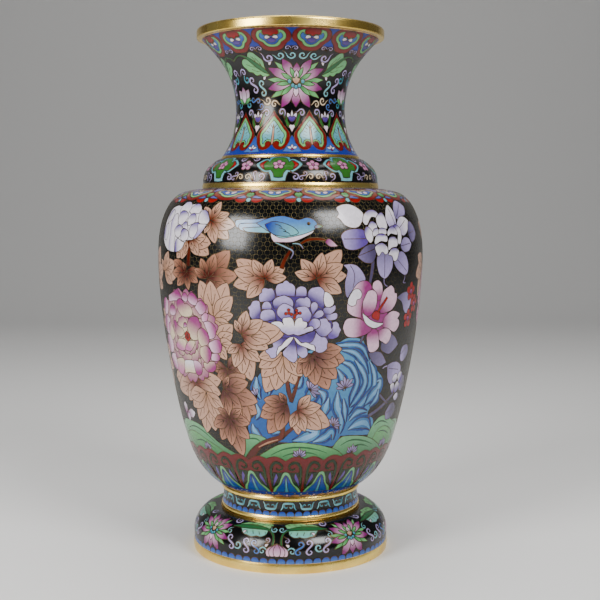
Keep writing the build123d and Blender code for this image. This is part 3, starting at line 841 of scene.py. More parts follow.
def lotus(coat, c, rise, size, spread):
    # petals and sepals round five seeds and a flame; size and spread 1 are the neck's
    def part(tipAngle, tipRise, width, colour, tint, deep=0.1):
        base = (c + tipAngle * 0.10 * spread, rise + (tipRise - 62) * 0.10 * size)
        pointed(coat, base, (c + tipAngle * spread, rise + (tipRise - 62) * size), width * size, colour, tint, 0.62,
            deep, 0.78)

    for flip in (-1, 1):
        part(flip * 19, 80, 5, "leaf", "mint")
        part(flip * 27.6, 65, 4.6, "leaf", "mint")
        part(flip * 25, 49.6, 4.8, "leaf", "mint")
        part(flip * 4, 45.5, 4.4, "leaf", "mint")
    part(0, 41.5, 8.5, "palePink", "magenta")
    for flip in (-1, 1):
        part(flip * 12.6, 82.6, 7.8, "palePink", "magenta")
        part(flip * 14.8, 41.2, 8.4, "palePink", "magenta")
    part(0, 79, 6.6, "palePink", "magenta", 0.3)
    for flip in (-1, 1):
        part(flip * 25.6, 74.6, 7.6, "palePink", "magenta")
        part(flip * 28, 57, 7.6, "palePink", "magenta")
    for flip in (-1, 1):
        part(flip * 5.6, 75, 3.6, "leaf", "mint", 0.1)
        part(flip * 14, 70, 4, "leaf", "mint", 0.1)
        part(flip * 19, 60.6, 3.6, "leaf", "mint", 0.1)
        part(flip * 15, 51.4, 4, "leaf", "mint", 0.1)
    part(0, 72.6, 4.4, "white", "palePink", 0.1)
    part(0, 50, 5.4, "white", "palePink", 0.1)
    flame = mirrored([(0, 61, 1), (2.2, 62), (3.8, 65.6), (1.4, 65.8), (0, 69.6, 1)])
    flame = [(x * spread, rise + (y - 62) * size, *k) for x, y, *k in flame]
    draw(coat, flame, "salmon", "cream", (0, rise), (0, rise + 7 * size), centre=c)
    for angle, height in ((-6.4, 63), (-3.2, 59.6), (0, 58.4), (3.2, 59.6), (6.4, 63)):
        dot(coat, c + angle * spread, rise + (height - 62) * size, 1.9 * size, "turquoise", "aqua")


def serratedLeaf(coat, c, flip):
    # a broad leaf beside each lotus, with its stalk
    lobes = [(24.5, 68.6, 1), (28.5, 75, 1), (29.5, 81.5), (33, 85.4), (36, 88.8), (40, 89.6), (42.6, 86.4),
        (43, 83, 1), (47.5, 84), (51, 81), (50.6, 77), (48, 75, 1), (46, 72.4), (41.5, 71.4, 1), (38.5, 68.6),
        (34, 69.4, 1), (30, 67)]
    draw(coat, lobes, "mint", "paleLeaf", (36, 68), (36, 88), c, flip)
    for points in (((31, 74.5), (32.5, 79), (36, 84)), ((35, 77.5), (36.5, 82), (39.5, 86.5)), ((36, 76), (41, 76.5),
            (46.5, 79)), ((32, 72.2), (37, 72.2), (42, 74.4))):
        coat.line(outline([((c + flip * x) * coat.degreeWidth, y) for x, y in points], False))
    band(coat, [(25, 69.2), (31, 73.6), (38, 79.4), (44, 85), (50, 87.4), (56, 86), (60, 83)], [0.6, 3.6, 4.2, 3, 1.6,
        1.3, 1.2], "leaf", c, flip)


def drawNeck():
    d = neckDrawing
    coat = Coat("neck_enamel", 0.95, "black", False)
    bar(coat, 94, coat.top + 1, "royal")
    bar(coat, -1, 16, "royal")
    for k in range(d["lotusCount"]):
        c = d["lotusCentre"] + k * 360 / d["lotusCount"]
        for flip in (-1, 1):
            serratedLeaf(coat, c, flip)
            for angle, rise, size, turn, tone in (
                (4.8, 85.6, 3.1, 180, "aqua"), (14.2, 85, 3.1, 200, "aqua"), (24, 83.4, 3.4, 170, "lilac"),
                (21.4, 44.6, 2.9, 20, "cream"), (29.4, 47.2, 3.2, 200, "cream"),
                (51.6, 66.6, 3.3, 120, "turquoise"), (51.6, 45.4, 3.2, 60, "turquoise"), (36.6, 42.6, 2.6, 240, "sky"),
            ):
                hook(coat, c + flip * angle, rise, size, turn * flip, flip, tone)
            for angle, rise, size, turn, tone in ((33.6, 57.8, 3.5, 0, "aqua"), (43.6, 60.8, 3.7, 10, "lilac"),
                    (43, 48, 2.7, 70, "sky")):
                scroll(coat, c + flip * angle, rise, size, turn * flip, flip, tone)
            for angle, rise in ((23.4, 78.6), (30.4, 66.2)):
                draw(coat, [(angle - 2, rise + 1.6, 1), (angle + 1.2, rise + 1), (angle + 1, rise - 1.6),
                    (angle - 0.8, rise - 1)], "white", "palePink", (angle, rise), (angle - 2, rise + 1.6), c, flip)
        lotus(coat, c, 62, 1, 1)
        bud = c + 180 / d["lotusCount"]
        for turn in (-34, 34, 0):
            low = coat.at(bud, 46)
            shape = moved(outline(mirrored([(0, 0, 1), (3.6, 5), (3.2, 10.5), (0, 14.5, 1)])), low, turn)
            coat.cell(shape, "white", "magenta", low, low + (0, 15))
        for flip in (-1, 1):
            leafTip = (bud + flip * 9.5, 50.5)
            pointed(coat, (bud, 45.4), leafTip, 4, "leaf", "mint")
            hook(coat, bud + flip * 6, 72.4, 3, 0, flip, "lilac")
    for k in range(d["lappetCount"]):
        c = d["lappetCentre"] + k * 360 / d["lappetCount"]
        neckBetween(coat, c + 180 / d["lappetCount"])
    for k in range(d["lappetCount"]):
        neckLappet(coat, d["lappetCentre"] + k * 360 / d["lappetCount"])
    half = 180 / d["headCount"]
    for k in range(d["headCount"]):
        c = d["headCentre"] + (2 * k + 1) * half
        for flip in (-1, 1):
            hook(coat, c + flip * 2.7, 92.2, 1.9, 10, flip, "lilac")
    for k in range(d["headCount"]):
        lipHead(coat, d["headCentre"] + 2 * k * half)
    return coat


collarDrawing = {"count": 8, "cloudCentre": -7.5}


def blossom(coat, angle, rise, size, colour, tint):
    # five round petals and an eye
    at = coat.at(angle, rise)
    for k in range(5):
        middle = moved([(0, size * 0.98)], at, 72 * k)[0]
        ring = sixPoints(size * 0.62, size * 0.66)
        coat.cell(moved(outline(ring, step=size / 2), middle, 72 * k), tint, colour, at, middle)
    dot(coat, angle, rise, size * 0.44, "magenta", "pink")


def drawCollar():
    d = collarDrawing
    coat = Coat("collar_enamel", 1.28, "black")
    step = 360 / d["count"]
    for k in range(d["count"]):
        c = d["cloudCentre"] + k * step
        rim = [(0, 0.6), (4.4, 1, 1), (5, 4.5), (6.2, 8.4, 1), (8.6, 8), (11.4, 10), (14.2, 13.4), (15.6, 16.4),
            (13.8, 19.6), (11.2, 22.6), (8.4, 23.4), (6.8, 21.6, 1), (7.4, 25.4), (4.6, 27.4), (0, 27.8)]
        draw(coat, mirrored(rim), "aqua", "turquoise", (0, 2), (0, 30), centre=c)
        body = [(0, 3.6), (2.8, 4, 1), (3.4, 7.6), (5.2, 10.4, 1), (8, 9.9), (10.8, 12), (13.2, 16.2), (10.8, 20.2),
            (8.6, 21.6), (6.6, 18.8, 1), (5.6, 23), (3.4, 25.4), (0, 25.8)]
        draw(coat, mirrored(body), "moss", centre=c)
        for flip in (-1, 1):
            draw(coat, [(8.4, 21.4, 1), (11, 19.6), (13, 16.2), (11.4, 12.8), (8.8, 10.4, 1), (9.8, 13.6), (10.2,
                16.2), (9.4, 18.8)], "brick", "red", (9, 10), (13, 16), c, flip)
            hook(coat, c + flip * 10.6, 4.6, 2.6, 80, flip, "lilac")
            scroll(coat, c + flip * 15.4, 5.2, 2.2, 30, flip, "lilac")
            hook(coat, c + flip * 17, 23.4, 2.6, 160, flip, "lilac")
            hook(coat, c + flip * 19.6, 4.4, 2.4, 0, flip, "cream")
        blossom(coat, c, 16.2, 3.4, "pink", "palePink")
        blossom(coat, c + step / 2, 15.6, 3.6, "pink", "palePink")
    return coat


footDrawing = {"count": 4, "budCentre": -7.5, "scallops": 72}


def scallops(coat, count, high):
    # a row of half-round cells round the foot of a coat
    for k in range(count):
        c = 360 * k / count
        half = 168 / count
        draw(coat, mirrored([(0, -0.3, 1), (half, -0.3, 1), (half, high * 0.45), (half * 0.6, high * 0.9), (0,
            high)]), "sky", "royal", (0, 0), (0, high), centre=c)


def drawFoot():
    d = footDrawing
    coat = Coat("foot_enamel", 1.4, "black")
    step = 360 / d["count"]
    for k in range(d["count"]):
        c = d["budCentre"] + k * step
        for flip in (-1, 1):
            pale = [(6.5, 28.5, 1), (7, 24.5), (10, 22), (13, 22.6, 1), (16, 21.4), (19.4, 22.4, 1), (22.4, 23.4),
                (24.6, 27.4), (30, 29), (26, 33), (22, 36.5), (18.5, 36.6, 1), (15.5, 40), (11, 38.8, 1), (7, 39),
                (3.8, 35.6), (5, 32)]
            draw(coat, pale, "aqua", "mint", (15, 20), (15, 34), c, flip)
            for lean in (9, 13, 17, 21):
                coat.line(coat.put([(c + flip * lean, 30.5), (c + flip * (lean - 0.8), 27), (c + flip * (lean - 1.8),
                    23.8)]))
                coat.line(coat.put([(c + flip * lean, 31.5), (c + flip * (lean - 1.4), 34.5), (c + flip * (lean - 3),
                    37.4)]))
            band(coat, [(2.6, 15), (2.3, 21.5), (4, 27.2), (8, 30.2), (16, 31.4), (24, 30.4), (31, 28.6)], [1.6, 1.8,
                2, 4.4, 5.2, 4.2, 1], "leaf", c, flip)
            hook(coat, c + flip * 2.6, 29.8, 2.6, 200, flip, "aqua")
            hook(coat, c + flip * 5.6, 19.6, 1.9, 90, flip, "lilac")
            for angle, rise, size, turn, tone in ((8, 10.6, 3, 0, "aqua"), (23.8, 12.6, 3.2, 200, "aqua"), (31.5,
                    23.6, 2.4, 90, "aqua"), (30, 36, 3.4, 170, "lilac")):
                hook(coat, c + flip * angle, rise, size, turn * flip, flip, tone)
            for angle, rise, size, turn, tone in ((12.6, 13, 3.1, 10, "sky"), (18.2, 13.4, 3.3, -6, "lilac"),
                    (28.6, 14.2, 3.3, 8, "lilac")):
                scroll(coat, c + flip * angle, rise, size, turn * flip, flip, tone)
            for angle, rise in ((21.6, 25), (6.2, 15.2)):
                draw(coat, [(angle - 1.4, rise + 1.4, 1), (angle + 0.8, rise + 1), (angle + 0.6, rise - 1.4),
                    (angle - 0.6, rise - 1)], "white", "palePink", (angle, rise), (angle - 1, rise + 1.6), c, flip)
        for lean, wide in ((-4.2, 2), (4.2, 2), (-2.4, 2.2), (2.4, 2.2), (0, 2.4)):
            draw(coat, [(0, 17, 1), (lean - wide * 0.8, 12), (lean * 1.1 - wide * 0.6, 6.6), (lean * 1.1 + wide * 0.6,
                6.6), (lean + wide * 0.8, 12)], "magenta", "palePink", (0, 18), (lean, 6), c)
        lotus(coat, c + step / 2, 19.5, 0.78, 0.5)
    scallops(coat, d["scallops"], 4.4)
    return coat


stemDrawing = {"clouds": 24, "firstCloud": -1.5, "scallops": 54}


def drawStem():
    d = stemDrawing
    coat = Coat("stem_enamel", 1.07, "black", False)
    for k in range(d["clouds"]):
        c = d["firstCloud"] + k * 360 / d["clouds"]
        up = 1 if k % 2 else -1
        middle = 8.3
        arch = [(-6.4, 3.4), (-5, 1.2), (-3.8, -2), (0, -2.6), (3.8, -2), (5, 1.2), (6.4, 3.4)]
        band(coat, [(x, middle + up * y) for x, y in arch], [0.9, 1.9, 2.2, 2.2, 2.2, 1.9, 0.9], "aqua", c,
            tint="turquoise")
        for flip in (-1, 1):
            band(coat, [(x, middle + up * y) for x, y in ((3.4, -1.4), (3, 1), (1.4, 1.3), (1.2, 0.1))], [1.2, 1.3,
                1.3, 0.9], "turquoise", c, flip)
    scallops(coat, d["scallops"], 4)
    return coat


heartPeony = [
    ("purple", "purple", (-22, 205), (-22, 204.9), [(-11.3, 171.2), (-9.8, 192.5), (-4.9, 195), (2.4, 194.4),
        (7.3, 192.5), (11.5, 191.9), (14, 177.5), (16.7, 170), (17.3, 158.8), (13.1, 151.2), (5.4, 155), (-3.7,
        156.2), (-8.6, 165)]),
    ("violet", "lilac", (-1.9, 189.4), (-1.9, 196.9), [(-5.4, 190, 1), (-5.8, 195), (-5.4, 198.4), (-4.3, 200),
        (-3, 200.5, 1), (-2.2, 202.2), (-1.3, 202.6), (-0.2, 200.5, 1), (1, 199.7), (1.9, 196.9), (1.9, 193.1),
        (1.6, 190, 1)]),
    ("violet", "lilac", (4.2, 189.4), (4.4, 195.6), [(2.2, 190, 1), (2.2, 194.7), (3, 197.2), (4.5, 198), (5.9,
        196.9), (6.4, 193.8), (6.2, 190, 1)]),
    ("purple", "lilac", (8.8, 186.2), (11.2, 194.4), [(6.8, 190.9, 1), (7, 193.8), (8, 196.2), (9.4, 197, 1),
        (11.2, 197.5), (12.5, 196.2), (13.5, 193.1), (13.7, 186.2), (13.4, 178.8, 1), (10.3, 182.5), (7.3, 187.5)]),
    ("white", "white", (13.5, 192.5), (14.6, 186.2), [(13.5, 193.4, 1), (15.3, 192.2), (16.7, 188.8), (17.4, 185),
        (17, 182.2), (15, 180.5), (13.7, 182.5), (13.1, 187.5)]),
    ("purple", "lilac", (13.4, 175), (16.4, 180), [(13.1, 180, 1), (14.3, 180.9), (16.1, 180.6), (17.9, 182.4),
        (18.2, 178.8), (17.3, 176.6), (16.1, 175.1, 1), (14.6, 172.5), (12.8, 173.8)]),
    ("purple", "lilac", (14, 173.8), (17.3, 173.1), [(13.4, 175.6, 1), (16.1, 175, 1), (18.5, 176.2), (19.2, 173.8),
        (18.7, 170.9), (16.7, 170), (14.9, 170.9)]),
    ("violet", "lilac", (9.1, 175.6), (9.7, 183.8), [(8, 182.5), (8.6, 184.7), (9.7, 185.3), (10.8, 183.4),
        (10.8, 180.3), (9.9, 177.5), (8.9, 174.7, 1), (8.2, 178.1)]),
    ("violet", "lilac", (9.4, 173.1), (11.8, 176.9), [(8.9, 173.4, 1), (10, 176.6), (11.2, 178.4), (12.6, 178.4),
        (13.4, 175.9), (12.8, 173.4), (11.4, 172.2), (10.3, 171.9)]),
    ("violet", "lilac", (17.3, 157.5), (19.5, 163.8), [(17, 168.1, 1), (18.5, 169.1), (19.9, 166.9), (20.2, 164.4),
        (21, 161.9), (20.4, 159.4), (19.8, 156.2), (17.6, 154.5), (16, 155, 1), (15.3, 157.5), (16.4, 161.2),
        (17.3, 165)]),
    ("purple", "lilac", (10.9, 157.5), (14.3, 166.2), [(11.5, 170.9, 1), (13.1, 171.9), (14.7, 171.6), (15.3, 169.1),
        (16.3, 167.5), (16.6, 164.4), (17.2, 161.9), (16.3, 160.3), (15.3, 158.1), (14.3, 156.9), (12.8, 156.6, 1),
        (10.3, 157.5), (9.7, 161.9), (11.8, 165)]),
    ("violet", "lilac", (8.2, 167.5), (10.6, 168.8), [(7.3, 167.5, 1), (8, 170.3), (9.4, 172), (10.9, 171.6),
        (12, 169.4), (12.1, 166.2), (11.2, 164.1), (9.7, 162.8, 1), (7.9, 164.4)]),
    ("purple", "lilac", (5.4, 156.9), (12.1, 151.2), [(10.3, 161.9, 1), (11.2, 158.8), (12.8, 156.6, 1), (14.6,
        155.9), (15.5, 152.5), (15.2, 149.4), (15.3, 146.9), (14, 144.4), (12.1, 143.4), (10.3, 145, 1), (10, 149.4),
        (7.3, 150.6), (4.8, 152.5), (3, 157.5, 1), (6, 159.1)]),
    ("purple", "lilac", (-6.8, 186.9), (-10.1, 193.8), [(-11.9, 185, 1), (-12.5, 188.1), (-12.1, 191.6), (-11.2,
        192.8), (-11.2, 195), (-10.1, 196.6), (-8.6, 195.9), (-7.1, 196.2), (-6.1, 192.5), (-5.8, 188.8, 1),
        (-7.7, 185.6), (-9.8, 185.6)]),
    ("purple", "lilac", (-12.4, 174.4), (-15.4, 180), [(-12.2, 185.6, 1), (-13.5, 186.4), (-15, 185.6), (-15.9,
        182.5), (-17.1, 180.3), (-16.5, 178.1), (-16.5, 174.4), (-15.3, 170.9), (-12.5, 169.7, 1), (-11.8, 175),
        (-11.8, 180)]),
    ("violet", "lilac", (-9.2, 178.8), (-9.3, 183.8), [(-11.5, 179.4, 1), (-11, 183.4), (-9.8, 185.8), (-8.4, 185.3),
        (-7.5, 182.8), (-7.4, 180, 1), (-8.9, 179.1)]),
    ("purple", "lilac", (-7.7, 170), (-9.2, 176.9), [(-11.9, 169.7, 1), (-12.1, 173.8), (-11.5, 177.5), (-9.8, 179.1),
        (-8, 179.4), (-6.8, 178.4), (-6, 175), (-5.7, 169.7, 1)]),
    ("purple", "violet", (-8, 167.5), (-3.7, 162.5), [(-9.5, 166.9, 1), (-8.9, 170), (-5.8, 170.3), (-3.1, 165),
        (-1.3, 159.4, 1), (-4.9, 160.3)]),
    ("purple", "lilac", (-3.7, 180), (-3.1, 187.5), [(-6.6, 180.3, 1), (-6.9, 185.6), (-5.8, 188.4), (-4, 190),
        (-2.5, 190.9), (-1, 189.7), (0.6, 187.5), (1.2, 184.4), (1, 180.6, 1), (-2.5, 178.1)]),
    ("purple", "lilac", (3.3, 181.9), (5.4, 186.9), [(1.6, 180.9, 1), (1.8, 185), (2.4, 187.2), (3.9, 188.6),
        (5.4, 188.4), (6.4, 189.5), (7.7, 187.5), (8, 184.4), (7.7, 181.2, 1), (4.8, 180)]),
    ("violet", "lilac", (-1.3, 171.9), (-2.5, 180), [(-3.1, 170.6, 1), (-5.1, 175), (-5.2, 178.8), (-4.2, 182.2),
        (-2.5, 184.4), (-0.7, 183.1), (1, 180.9), (1.4, 178.1, 1), (1.3, 170.6, 1)]),
    ("violet", "lilac", (6, 170), (4.8, 178.1), [(1.9, 170.6, 1), (1.9, 180, 1), (3.3, 181.4), (4.5, 181.8),
        (5.7, 182), (7, 180.6), (7.7, 178.1), (8.5, 175), (8, 171.2), (7, 168.8, 1)]),
    ("white", "lilac", (1.8, 166.9), (1.8, 160), [(-7.8, 168.4, 1), (-6.5, 169.5), (-4.6, 169.7), (-3.6, 169.1),
        (-2.6, 166.8, 1), (-3.2, 170), (-2.8, 172.4), (-1.3, 172.8), (0.3, 173), (1.3, 170), (1.6, 166.2, 1),
        (1.9, 170), (3, 172.5), (4.5, 172.8), (5, 170), (6.4, 169.4), (6.8, 167.5), (6.4, 165), (5.3, 163.2, 1),
        (7, 165), (8.5, 165.6), (9.4, 164.1), (9.1, 161.9), (7.3, 160.9), (5.4, 159.4), (3, 158.1), (1.2, 159.1),
        (-0.7, 158.4), (-2.2, 159.7), (-4.3, 162.5), (-6.1, 165), (-7.1, 166.9)]),
    ("purple", "violet", (1.2, 157.5), (1.2, 151.2), [(-4.9, 160.9, 1), (-2.2, 159.5), (-0.7, 158.3), (1.2, 158.9),
        (3.9, 157.8), (7.3, 160.3), (9.7, 161.9, 1), (10.3, 160), (8.8, 153.1), (5.4, 151.9), (1.8, 155.6),
        (1.2, 157.2, 1), (-2.5, 151.9), (-4.9, 153.8), (-5.5, 157.5)]),
    ("purple", "lilac", (-3.1, 155), (-7.1, 146.9), [(-8.9, 155.6, 1), (-5.8, 157.2), (-3.7, 156.2), (-0.4, 156.2, 1),
        (-3.7, 150), (-5.2, 146.9), (-5.8, 140.6), (-7.1, 139.1), (-8.3, 139.4), (-8.9, 141.9), (-10.3, 144.4),
        (-10, 146.9), (-8.9, 147.5), (-7.1, 148.8), (-7.7, 152.5)]),
    ("purple", "lilac", (1.5, 151.2), (0.6, 141.9), [(1.2, 156.6, 1), (-1, 150), (-2.5, 146.2), (-3.2, 144.4),
        (-2.8, 141.2), (-1.6, 139.4), (-0.7, 137.5), (1.2, 135.6), (2.4, 136.9), (3, 140), (2.8, 142.5, 1),
        (3.3, 145), (2.4, 151.2)]),
    ("purple", "lilac", (3.3, 148.8), (5.1, 143.1), [(1.9, 154.4, 1), (3.9, 150.6), (6, 148.8), (7.1, 145.6),
        (7.1, 141.9), (6, 139.7), (4.8, 139.4), (3.6, 141.2), (2.8, 142.8, 1), (2.4, 148.8)]),
    ("white", "white", (0.9, 157.2), (-5.2, 142.5), [(1.1, 157.2, 1), (-0.7, 156.2), (-2.5, 153.1), (-3.7, 150),
        (-4.9, 148.8), (-5.5, 145.6), (-5.8, 143.1), (-5.4, 141.1, 1), (-4.6, 143.8), (-3.1, 146.9), (-1.3, 149.4),
        (0.3, 153.1), (1.3, 156.4, 1)]),
    ("white", "white", (1.5, 156.9), (10, 145.6), [(1.5, 157, 1), (3, 155), (4.5, 151.9), (6, 152.5), (7.3, 151.9),
        (8.5, 150.6), (9.7, 150), (10.2, 147.5), (10.4, 144.9, 1), (8.5, 146.2), (6.7, 147.8), (4.8, 149.4),
        (3, 151.2), (1.9, 154.4)]),
]

rosePeony = [
    ("palePink", "rose", (-49.1, 181.8), (-48.9, 189.5), [(-51.6, 184.5, 1), (-50, 188.9), (-48.3, 189.8), (-46.7,
        186.4, 1), (-48.3, 181.8)]),
    ("palePink", "rose", (-44.9, 180.5), (-43.4, 189.5), [(-47.1, 183.6, 1), (-46, 188.9), (-43.8, 190.2), (-42,
        188.2), (-40.9, 183.6), (-42, 179.5, 1), (-45.1, 180.5)]),
    ("palePink", "rose", (-41.6, 175.5), (-36.7, 182.7), [(-42.9, 177.7, 1), (-41.2, 182.3), (-39.4, 184.1),
        (-37.6, 183.2), (-36.3, 179.1), (-36.9, 175.5), (-38.5, 172.9), (-40.3, 172.3, 1)]),
    ("palePink", "pink", (-39.8, 170), (-35.8, 171.8), [(-39.6, 170.9, 1), (-37.2, 174.4), (-35.7, 172.7), (-36.2,
        168.6), (-37.2, 166.5), (-39.2, 166.8, 1)]),
    ("palePink", "rose", (-36.7, 159.1), (-31.8, 161.8), [(-38.5, 166.2, 1), (-35.8, 167.5), (-33.6, 165.5),
        (-32.1, 161.8), (-32.4, 157.3), (-33.6, 153.5), (-36.3, 152.3, 1), (-36.6, 157.3), (-37.6, 161.8)]),
    ("palePink", "rose", (-35.8, 145.5), (-29.6, 147.3), [(-37.2, 148.9, 1), (-34.9, 150.9), (-32.7, 152.7),
        (-30.5, 151.4), (-29.9, 146.4), (-30.9, 141.8), (-33.6, 140.5, 1), (-35.4, 141.8), (-36.5, 145)]),
    ("palePink", "rose", (-35.4, 137.3), (-31, 136.4), [(-36.5, 139.5, 1), (-33.2, 140.9), (-31.4, 139.1), (-31.8,
        135), (-33.6, 133.9), (-36.1, 134.4, 1)]),
    ("cream", "rose", (-39.8, 132.7), (-37.2, 123.6), [(-41.2, 131.4, 1), (-37.2, 133.2), (-34.5, 133.2), (-34,
        128.2), (-35.8, 124.5), (-38.9, 123.9), (-40.8, 126.8)]),
    ("palePink", "rose", (-57.6, 180.9), (-56.7, 190.5), [(-62.9, 185.5, 1), (-59.3, 188.2), (-56.2, 190.5),
        (-54.5, 192), (-52.2, 188.6), (-51.1, 184.1, 1), (-54, 182.3), (-58.5, 181.4), (-62.9, 180, 1)]),
    ("palePink", "rose", (-59.8, 169.1), (-59.8, 177.3), [(-63.3, 173.6, 1), (-62, 176.8), (-59.8, 177.5), (-57.6,
        176.5), (-57.2, 171.8), (-59.3, 168.6), (-62.9, 169.1)]),
    ("cream", "rose", (-50.9, 170.9), (-52.7, 183.6), [(-55.8, 177.7, 1), (-55.3, 181.8), (-53.1, 184.1), (-50.9,
        183.2), (-49.4, 180, 1), (-47.8, 180.6), (-45.6, 178.2), (-44.5, 174.1), (-45.6, 170.5), (-48.7, 169.1),
        (-52.2, 169.5), (-54.7, 173.2)]),
    ("cream", "rose", (-55.3, 150.9), (-59.3, 163.6), [(-60.2, 163.6, 1), (-58.5, 164.7), (-57.1, 161.4, 1),
        (-54.9, 160), (-52.7, 158.2), (-51.9, 154.5, 1), (-55.3, 150.9), (-59.3, 153.2), (-60, 159.1)]),
    ("palePink", "rose", (-50.7, 159.1), (-50.9, 164.1), [(-52.2, 159.5, 1), (-51.4, 163.5), (-49.9, 164.4),
        (-48.9, 160.9, 1)]),
    ("cream", "rose", (-46.5, 150.9), (-42.9, 169.5), [(-49.4, 161.4, 1), (-48.3, 165.5), (-46.5, 169.1), (-43.4,
        170.5), (-41.6, 169.5), (-40.6, 165.5), (-40.2, 162.5), (-41.2, 159.5, 1), (-41.6, 152.7), (-44.3, 150),
        (-46.9, 150.5), (-48.5, 155.5)]),
    ("cream", "rose", (-42, 149.1), (-36.3, 156.4), [(-42, 159.5, 1), (-39.8, 161.4), (-37.6, 159.1), (-36.2, 154.5),
        (-36.5, 149.1), (-38.5, 146.2), (-41.2, 145.3, 1), (-42.5, 149.1), (-42.9, 155.5)]),
    ("cream", "rose", (-42, 139.1), (-35.8, 138.2), [(-42, 144.4, 1), (-38.9, 146.4), (-37.2, 145.5), (-35.7, 140.9),
        (-36.6, 135.5), (-38.9, 131.2), (-41.2, 134.4), (-42.5, 138.2)]),
    ("cream", "pink", (-55.3, 148.2), (-57.1, 140), [(-61.1, 141.4, 1), (-59.3, 146.4), (-57.1, 149.3), (-53.1,
        149.8), (-50.9, 147.3), (-51.4, 141.8), (-53.1, 139.8), (-56.7, 138.9)]),
    ("cream", "pink", (-47.4, 149.1), (-50.5, 140.9), [(-53.1, 140.5, 1), (-51.4, 145.5), (-48.7, 149.1), (-44.9,
        149.1), (-46.5, 143.5), (-49.1, 139.8)]),
    ("cream", "pink", (-59.3, 131.8), (-59.8, 118.2), [(-64.7, 128.2, 1), (-62, 130.5), (-59.3, 131.8), (-56.2,
        132.5), (-54.9, 130), (-55.3, 125.5), (-57.1, 119.8), (-59.3, 117.1), (-62.9, 119.1), (-64.7, 123.6)]),
    ("white", "cream", (-50.9, 130.9), (-50.9, 120), [(-55.3, 128.2, 1), (-54, 131.1), (-47.8, 131.8), (-47.1, 127.3),
        (-47.3, 121.4), (-53.1, 120.7), (-56, 119.6)]),
    ("palePink", "rose", (-45.6, 132.7), (-44.7, 120), [(-47.6, 132.3, 1), (-44.3, 132), (-42.4, 128.2), (-42.8,
        122.7), (-44.7, 119.8), (-46.9, 120.7), (-47.7, 127.3)]),
    ("palePink", "rose", (-67.3, 172.7), (-70.4, 176.4), [(-64.7, 180, 1), (-67.3, 183.6), (-70.4, 180), (-71.5,
        173.6), (-69.5, 168.2), (-66, 170)]),
    ("palePink", "rose", (-67.3, 156.4), (-72.2, 160.9), [(-64.7, 165.5, 1), (-68.7, 168.2), (-71.8, 164.5),
        (-72.9, 159.1), (-71.3, 152.7), (-67.3, 150.9), (-65.1, 157.3)]),
    ("palePink", "rose", (-67.3, 141.8), (-72.6, 141.8), [(-64.7, 149.1, 1), (-68.2, 150.9), (-71.8, 149.1),
        (-73.3, 142.7), (-71.8, 135.5), (-67.8, 134.5), (-64.7, 139.1)]),
    ("palePink", "rose", (-65.5, 129.1), (-68.7, 121.8), [(-63.8, 134.5, 1), (-66.9, 134.5), (-70.4, 130.9),
        (-69.5, 123.6), (-66, 120), (-63.3, 122.7)]),
    ("cream", "pink", (-62.9, 156.4), (-66, 161.8), [(-60.7, 150.9, 1), (-62, 157.3), (-64.2, 161.8), (-66.9, 160),
        (-67.3, 152.7), (-64.7, 146.4)]),
]

